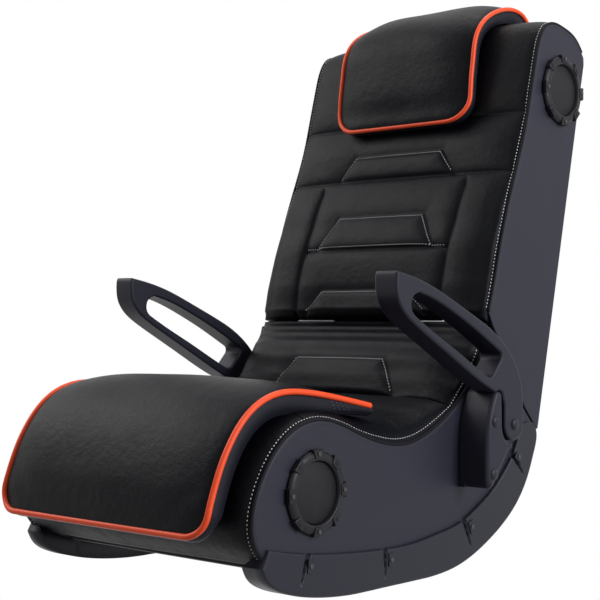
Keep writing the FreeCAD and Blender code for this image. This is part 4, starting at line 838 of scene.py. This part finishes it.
for side, sign in (("left", 1.0), ("right", -1.0)):
    dress(rail_skin("rail_shell_" + side, sign), RAILS, "base", "rail_plastic", "rail_" + side)
    plates, heads = [], []
    for f in NOTCH_AT:
        cy, cz = MIDDLE.at(f * MIDDLE.length + 11.0)
        ty, tz = MIDDLE.at(f * MIDDLE.length + 12.0)
        way = np.array([0.0, ty - cy, tz - cz])
        way /= np.linalg.norm(way)
        axes = (np.array([1.0, 0.0, 0.0]), way, np.cross([1.0, 0.0, 0.0], way))
        spot = np.array([sign * (RAIL_OUT + 0.1), float(cy), float(cz)]) + axes[2] * 8.0
        plates.append(rounded_box("plate", spot, axes, (3.2, 10.5, 17.0), 0.5))
        x0, x1 = sorted((sign * (RAIL_OUT + 1.0), sign * (RAIL_OUT + 2.9)))
        heads.append(disc("head", x0, x1, spot[1], spot[2], 3.2, 0.6))
    dress(merge("rail_plates_" + side, plates), RAILS, "base", "rail_plastic")
    dress(merge("rail_screw_heads_" + side, heads), SCREW, "base", "fixing_black",
          *(("rail_screws",) if side == "left" else ()))


# Arms and their brackets: flat mouldings with rounded edges
def polar(centre, radius, degrees):
    """A point at a radius and an angle from a centre."""
    turn = math.radians(degrees)
    return centre[0] + radius * math.cos(turn), centre[1] + radius * math.sin(turn)


def arc_points(centre, radius, first, last, number):
    """Points along an arc, its ends given in degrees."""
    return [polar(centre, radius, first + (last - first) * i / (number - 1)) for i in range(number)]


def curve_points(points, number):
    """Points at even steps along a smooth curve through the given ones."""
    path = Path(points, 400)
    y, z = path.at(np.linspace(0, path.length, number))
    return list(zip(y.tolist(), z.tolist()))


def spread_loop(loop, step):
    """A closed loop resampled at an even step."""
    pts = np.array(loop + loop[:1], float)
    run = np.concatenate([[0], np.cumsum(np.hypot(*np.diff(pts, axis=0).T))])
    at = np.linspace(0, run[-1], max(12, int(run[-1] / step)), endpoint=False)
    return np.stack([np.interp(at, run, pts[:, 0]), np.interp(at, run, pts[:, 1])], axis=1)


def loop_inset(pts, distance):
    """A closed loop moved inwards."""
    ahead = np.roll(pts, -1, axis=0) - np.roll(pts, 1, axis=0)
    ahead /= np.hypot(*ahead.T)[:, None]
    normal = np.stack([ahead[:, 1], -ahead[:, 0]], axis=1)
    turn = np.sign(np.sum(pts[:, 0] * np.roll(pts[:, 1], -1) - np.roll(pts[:, 0], -1) * pts[:, 1]))
    return pts - normal * distance * turn


def moulding(name, outer, holes, x_in, x_out, round_by, steps=5):
    """A flat moulding with rounded rims on both faces and round its holes."""
    verts, faces = [], []
    caps = ([], [])
    for index, loop in enumerate([outer] + holes):
        sense = 1.0 if index == 0 else -1.0
        chain = []
        for base, into in ((x_in, 1.0), (x_out, -1.0)):
            rows = []
            for k in range(steps + 1):
                a = math.pi / 2 * k / steps
                ring = loop_inset(loop, round_by * (1 - math.sin(a)) * sense)
                x = base + into * round_by * (1 - math.cos(a))
                rows.append([(x, p[0], p[1]) for p in ring])
            chain += rows if into > 0 else rows[::-1]
        start = len(verts)
        n = len(loop)
        for row in chain:
            verts += row
        faces += grid_faces(len(chain), n, start=start)
        caps[0].append([start + i for i in range(n)])
        caps[1].append([start + (len(chain) - 1) * n + i for i in range(n)])
    for cap in caps:
        flat = [i for loop in cap for i in loop]
        polys = [[Vector((0.0, verts[i][1], verts[i][2])) for i in loop] for loop in cap]
        for tri in tessellate_polygon(polys):
            faces.append(tuple(flat[i] for i in tri))
    obj = face_out(mesh(name, verts, faces))
    obj.modifiers.new("normals", "WEIGHTED_NORMAL").weight = 90
    return obj


PIVOT = (168.0, 195.0)  # the arm's pin, in Y and Z
STOP = (131.5, 233.0)  # centre of the notch in the arm that meets the bracket's nose
SHANK = 22.5
ARM_IN = 228.0
ARM_OUT = 264.0
BLOCK_IN = 212.0
BRACKET_PLATE = (213.6, 225.4)  # X of the plate's two faces
BOLTS = ((122.7, 200.9), (118.7, 131.0))  # Y and Z of a bracket's bolts
ARM_TOP = [(-86, 397.5), (-67, 394), (-19, 381.5), (33, 361), (81, 340.5), (112, 326), (145, 305),
           (170, 280), (185, 252), (190, 225), (190.5, 195)]
ARM_UNDER = [polar(STOP, 9.3, 135), (94, 253), (46, 278), (-6, 306), (-50, 330), (-77, 350),
             (-87, 367), (-89, 386)]
arm_loop = curve_points(ARM_TOP, 120)
arm_loop += arc_points(PIVOT, SHANK, 0, -180, 40)[1:]
arm_loop += [(145.5, 222)] + arc_points(STOP, 9.3, 10, 135, 24)
arm_loop += curve_points(ARM_UNDER, 110)[1:] + [(-88.5, 392.5), (-87.6, 395.5)]
slot_loop = curve_points([(-42, 371), (-19, 365), (33, 345), (81, 322.5), (131, 296)], 60)
slot_loop += curve_points([(131, 296), (137.5, 291), (137, 284)], 8)[1:]
slot_loop += [(127, 273.2), (117, 262.5)] + curve_points([(117, 262.5), (112, 260.5), (106, 262)], 8)[1:]
slot_loop += curve_points([(106, 262), (81, 274.5), (33, 299.5), (-19, 325.5), (-46, 340)], 60)[1:]
slot_loop += curve_points([(-46, 340), (-56.5, 349), (-55.5, 364), (-42, 371)], 22)[1:-1]
RELIEF = SHANK + 4.0
block_loop = curve_points([(105.5, 128), (105.5, 165), (107.5, 192), (112.5, 214), (122.7, 236)], 40)
block_loop += arc_points(STOP, 9.0, 150, 0, 24) + arc_points(PIVOT, RELIEF, 180, 262, 30)
block_loop += curve_points([(124, 121.5), (119, 114.5), (112.5, 112), (107.5, 117), (105.5, 128)], 20)[:-1]
plate_loop = [(107.5, 197)] + arc_points(STOP, 9.0, 160, 0, 24)
plate_loop += arc_points(PIVOT, SHANK - 1.5, 100, -98, 44) + [(121, 119), (113, 113), (106, 110)]
for side, sign in (("left", 1.0), ("right", -1.0)):
    x0, x1 = sorted((sign * ARM_IN, sign * ARM_OUT))
    arm = moulding("arm_" + side, spread_loop(arm_loop, 2.6), [spread_loop(slot_loop, 2.6)], x0, x1, 3.4)
    dress(arm, PLASTIC, "armrest_" + side, "arm_plastic", "armrest_" + side)
    x0, x1 = sorted((sign * BLOCK_IN, sign * ARM_OUT))
    block = moulding("bracket_block_" + side, spread_loop(block_loop, 2.0), [], x0, x1, 6.5, 8)
    x0, x1 = sorted(sign * x for x in BRACKET_PLATE)
    inset_loop = spread_loop(plate_loop, 2.2) * 0.98 + np.array([3.2, 3.4])
    plate = moulding("bracket_plate_" + side, inset_loop, [], x0, x1, 1.5)
    dress(block, PLASTIC, "base", "arm_plastic", "arm_bracket_" + side)
    dress(plate, PLASTIC, "base", "arm_plastic")


def dome_cap(name, sign, y, z, radius, start, high):
    """A domed cap that stands on the plane X = start."""
    rows, sides = 10, 28
    verts = []
    for k in range(rows + 1):
        a = math.pi / 2 * k / rows
        r = max(0.02, radius * math.cos(a) ** 0.8) if k < rows else 0.02
        x = sign * (start + high * math.sin(a) ** 1.15)
        verts += [(x, y + r * math.cos(2 * math.pi * i / sides), z + r * math.sin(2 * math.pi * i / sides))
                  for i in range(sides)]
    faces = grid_faces(rows + 1, sides)
    faces += [tuple(range(sides)), tuple(range(rows * sides, (rows + 1) * sides))]
    return face_out(mesh(name, verts, faces))


for side, sign in (("left", 1.0), ("right", -1.0)):
    caps = [dome_cap("cap", sign, y, z, 8.0, ARM_OUT - 0.2, 3.6) for y, z in BOLTS]
    dress(merge("bolt_caps_" + side, caps), PLASTIC, "base", "fixing_black",
          *(("bracket_bolts",) if side == "left" else ()))
    dress(dome_cap("pivot_cap_" + side, sign, *PIVOT, 8.2, ARM_OUT - 0.1, 4.0), PLASTIC, "base",
          "fixing_black", "arm_pin_" + side)


# Speakers: a faceted ring with eight raised lugs, four screws and a domed perforated grille
def turned(name, sign, cy, cz, profile, sides):
    """A round piece from a profile of radius and height above the side panel."""
    verts = []
    for r, proud in profile:
        for i in range(sides):
            a = 2 * math.pi * i / sides
            verts.append((sign * (FACE + proud), cy + r * math.cos(a), cz + r * math.sin(a)))
    faces = grid_faces(len(profile), sides)
    faces += [tuple(range(sides)), tuple(range((len(profile) - 1) * sides, len(profile) * sides))]
    return face_out(mesh(name, verts, faces))


GRILLE_RADIUS = 37.2
# Radius and height above the panel, from the ring's rim to its hidden middle
RING_PROFILE = ((50.0, 0.0), (50.4, 4.0), (49.6, 6.0), (47.6, 7.4), (45.2, 8.4), (41.5, 8.8),
                (39.4, 8.6), (38.4, 7.6), (38.0, 4.0), (37.6, 3.2), (10.0, 3.2))
# Radius, half width and height of a lug's inner and outer edge, at its foot and at its top
LUG_FOOT = ((39.6, 7.0, 3.0), (52.0, 10.4, 3.0))
LUG_TOP = ((40.4, 6.0, 10.4), (51.6, 9.2, 9.6))


def speaker(name, sign, cy, cz, body, prefix, side):
    """One speaker: a ring with lugs, marks and screws, and its grille."""
    ring = turned(name + "_ring", sign, cy, cz, RING_PROFILE, 96)
    dress(ring, BLACK, body, "trim_black", prefix + "_speaker_bezel_" + side)
    lugs, heads, marks = [], [], []
    for k in range(8):
        a = math.radians(45 * k)
        out = np.array([0.0, math.cos(a), math.sin(a)])
        turn = np.array([0.0, -math.sin(a), math.cos(a)])
        centre = np.array([0.0, cy, cz])
        corners = []
        for r, wide, proud in LUG_FOOT + LUG_TOP:
            for w in (-1, 1):
                raised = np.array([sign * (FACE + proud), 0, 0])
                corners.append(centre + out * r + turn * wide * w + raised)
        lugs.append(soften(face_out(mesh("lug", corners, BOX_FACES, flat=True)), 1.1, 3, 25.0))
        spot = centre + out * 46.4
        if k % 2 == 0:
            x0, x1 = sorted((sign * (FACE + 9.0), sign * (FACE + 11.2)))
            heads.append(disc("head", x0, x1, spot[1], spot[2], 2.9, 0.5))
        else:
            axes = (np.array([1.0, 0.0, 0.0]), out, turn)
            marks.append(rounded_box("mark", spot + np.array([sign * (FACE + 10.0), 0, 0]), axes,
                                     (1.4, 4.6, 5.4), 0.5))
    dress(merge(name + "_lugs", lugs), BLACK, body, "trim_black")
    dress(merge(name + "_marks", marks), BLACK, body, "trim_black")
    dress(merge(name + "_screws", heads), SCREW, body, "fixing_black",
          *((prefix + "_speaker_screws",) if side == "left" else ()))
    profile = [(GRILLE_RADIUS, 2.2)]
    for k in range(41):
        r = GRILLE_RADIUS * (1 - k / 40.0) + 0.05
        profile.append((r, 4.2 + 3.6 * (1 - (r / GRILLE_RADIUS) ** 2)))
    grille = turned(name + "_grille", sign, cy, cz, profile, 72)
    dress(grille, GRILLE, body, "grille_black", *((prefix + "_speaker_grilles",) if side == "left" else ()))


for prefix, cy, cz, body in (("base", -186.0, 131.0, "base"), ("back", 366.0, 677.0, "backrest")):
    for side, sign in (("left", 1.0), ("right", -1.0)):
        speaker(prefix + "_speaker_" + side + "_unit", sign, cy, cz, body, prefix, side)

# Looks of the solids that no piece stands for, and of those behind the pieces
LOOK = {"rail_left": RAILS, "rail_right": RAILS, "armrest_left": PLASTIC, "armrest_right": PLASTIC,
        "arm_bracket_left": PLASTIC, "arm_bracket_right": PLASTIC, "back_rear_panel": VINYL,
        "under_cover": CLOTH, "pillow_strap": CLOTH, "fold_stop_pads": RUBBER, "input_sockets": BRASS,
        "control_panel": BLACK, "volume_knob": BLACK, "bass_knob": BLACK, "power_button": BLACK,
        "subwoofer_grille": GRILLE, "rail_screws": SCREW, "bracket_bolts": PLASTIC,
        "arm_pin_left": PLASTIC, "arm_pin_right": PLASTIC, "hinge_pins": STEEL, "hinge_base_leaves": STEEL,
        "hinge_back_leaves": STEEL}


def look_of(name):
    """The material of a CAD solid."""
    if name in LOOK:
        return LOOK[name]
    if "grille" in name:
        return GRILLE
    return BLACK if "speaker" in name or "subwoofer" in name else BOARD


for name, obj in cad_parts.items():
    obj.data.materials.clear()
    obj.data.materials.append(look_of(name))

# Camera at the photo's place
CAMERA_AT = (1330.0, -1440.0, 341.0)
CAMERA_TURN = (90.675, 0.0, 42.2267)
scene = bpy.context.scene
camera_data = bpy.data.cameras.new("camera")
camera = bpy.data.objects.new("camera", camera_data)
scene.collection.objects.link(camera)
scene.camera = camera
camera_data.sensor_width = 36.0
camera_data.lens = 84.27
camera_data.clip_end = 50.0
camera.location = to_frame([CAMERA_AT])[0]
camera.rotation_euler = [math.radians(turn) for turn in CAMERA_TURN]


# Lamps, and a world that shows white behind the chair and in its gloss
def area(name, place, target, size, power, color=(1.0, 1.0, 1.0)):
    """A rectangular lamp that faces its target."""
    data = bpy.data.lights.new(name, "AREA")
    data.shape = "RECTANGLE"
    data.size, data.size_y = size
    data.energy = power
    data.color = color
    obj = bpy.data.objects.new(name, data)
    scene.collection.objects.link(obj)
    obj.location = place
    way = Vector(target) - Vector(place)
    obj.rotation_euler = way.to_track_quat("-Z", "Y").to_euler()
    return obj


area("key", (-2.0, -1.0, 2.1), (0.0, 0.0, 0.4), (1.6, 1.6), 46.0)
area("side", (2.9, 0.5, 1.3), (0.1, 0.0, 0.35), (1.2, 1.8), 96.0, (0.93, 0.93, 1.0))
area("top", (0.0, 0.6, 2.4), (0.0, -0.1, 0.4), (1.6, 0.8), 16.0)

world = bpy.data.worlds.new("world")
scene.world = world
world.use_nodes = True
tree = world.node_tree
tree.nodes.clear()
output = tree.nodes.new("ShaderNodeOutputWorld")
mix = tree.nodes.new("ShaderNodeMixShader")
white = tree.nodes.new("ShaderNodeBackground")
white.inputs["Color"].default_value = (1.0, 1.0, 1.0, 1.0)
white.inputs["Strength"].default_value = 1.0
glow = tree.nodes.new("ShaderNodeBackground")
glow.inputs["Strength"].default_value = 0.36
ray = tree.nodes.new("ShaderNodeLightPath")
seen = ray.outputs["Is Camera Ray"]
for kind in ("Is Transmission Ray", "Is Glossy Ray"):
    either = tree.nodes.new("ShaderNodeMath")
    either.operation = "MAXIMUM"
    tree.links.new(seen, either.inputs[0])
    tree.links.new(ray.outputs[kind], either.inputs[1])
    seen = either.outputs["Value"]
place = tree.nodes.new("ShaderNodeTexCoord")
split_axes = tree.nodes.new("ShaderNodeSeparateXYZ")
tree.links.new(place.outputs["Generated"], split_axes.inputs["Vector"])
ramp = tree.nodes.new("ShaderNodeMapRange")
ramp.inputs["From Min"].default_value = -1.0
ramp.inputs["From Max"].default_value = 1.0
ramp.inputs["To Min"].default_value = 0.35
ramp.inputs["To Max"].default_value = 1.0
tree.links.new(split_axes.outputs["Z"], ramp.inputs["Value"])
tree.links.new(ramp.outputs["Result"], glow.inputs["Color"])
tree.links.new(seen, mix.inputs["Fac"])
tree.links.new(glow.outputs["Background"], mix.inputs[1])
tree.links.new(white.outputs["Background"], mix.inputs[2])
tree.links.new(mix.outputs["Shader"], output.inputs["Surface"])
scene.view_settings.view_transform = "Standard"

low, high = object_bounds()
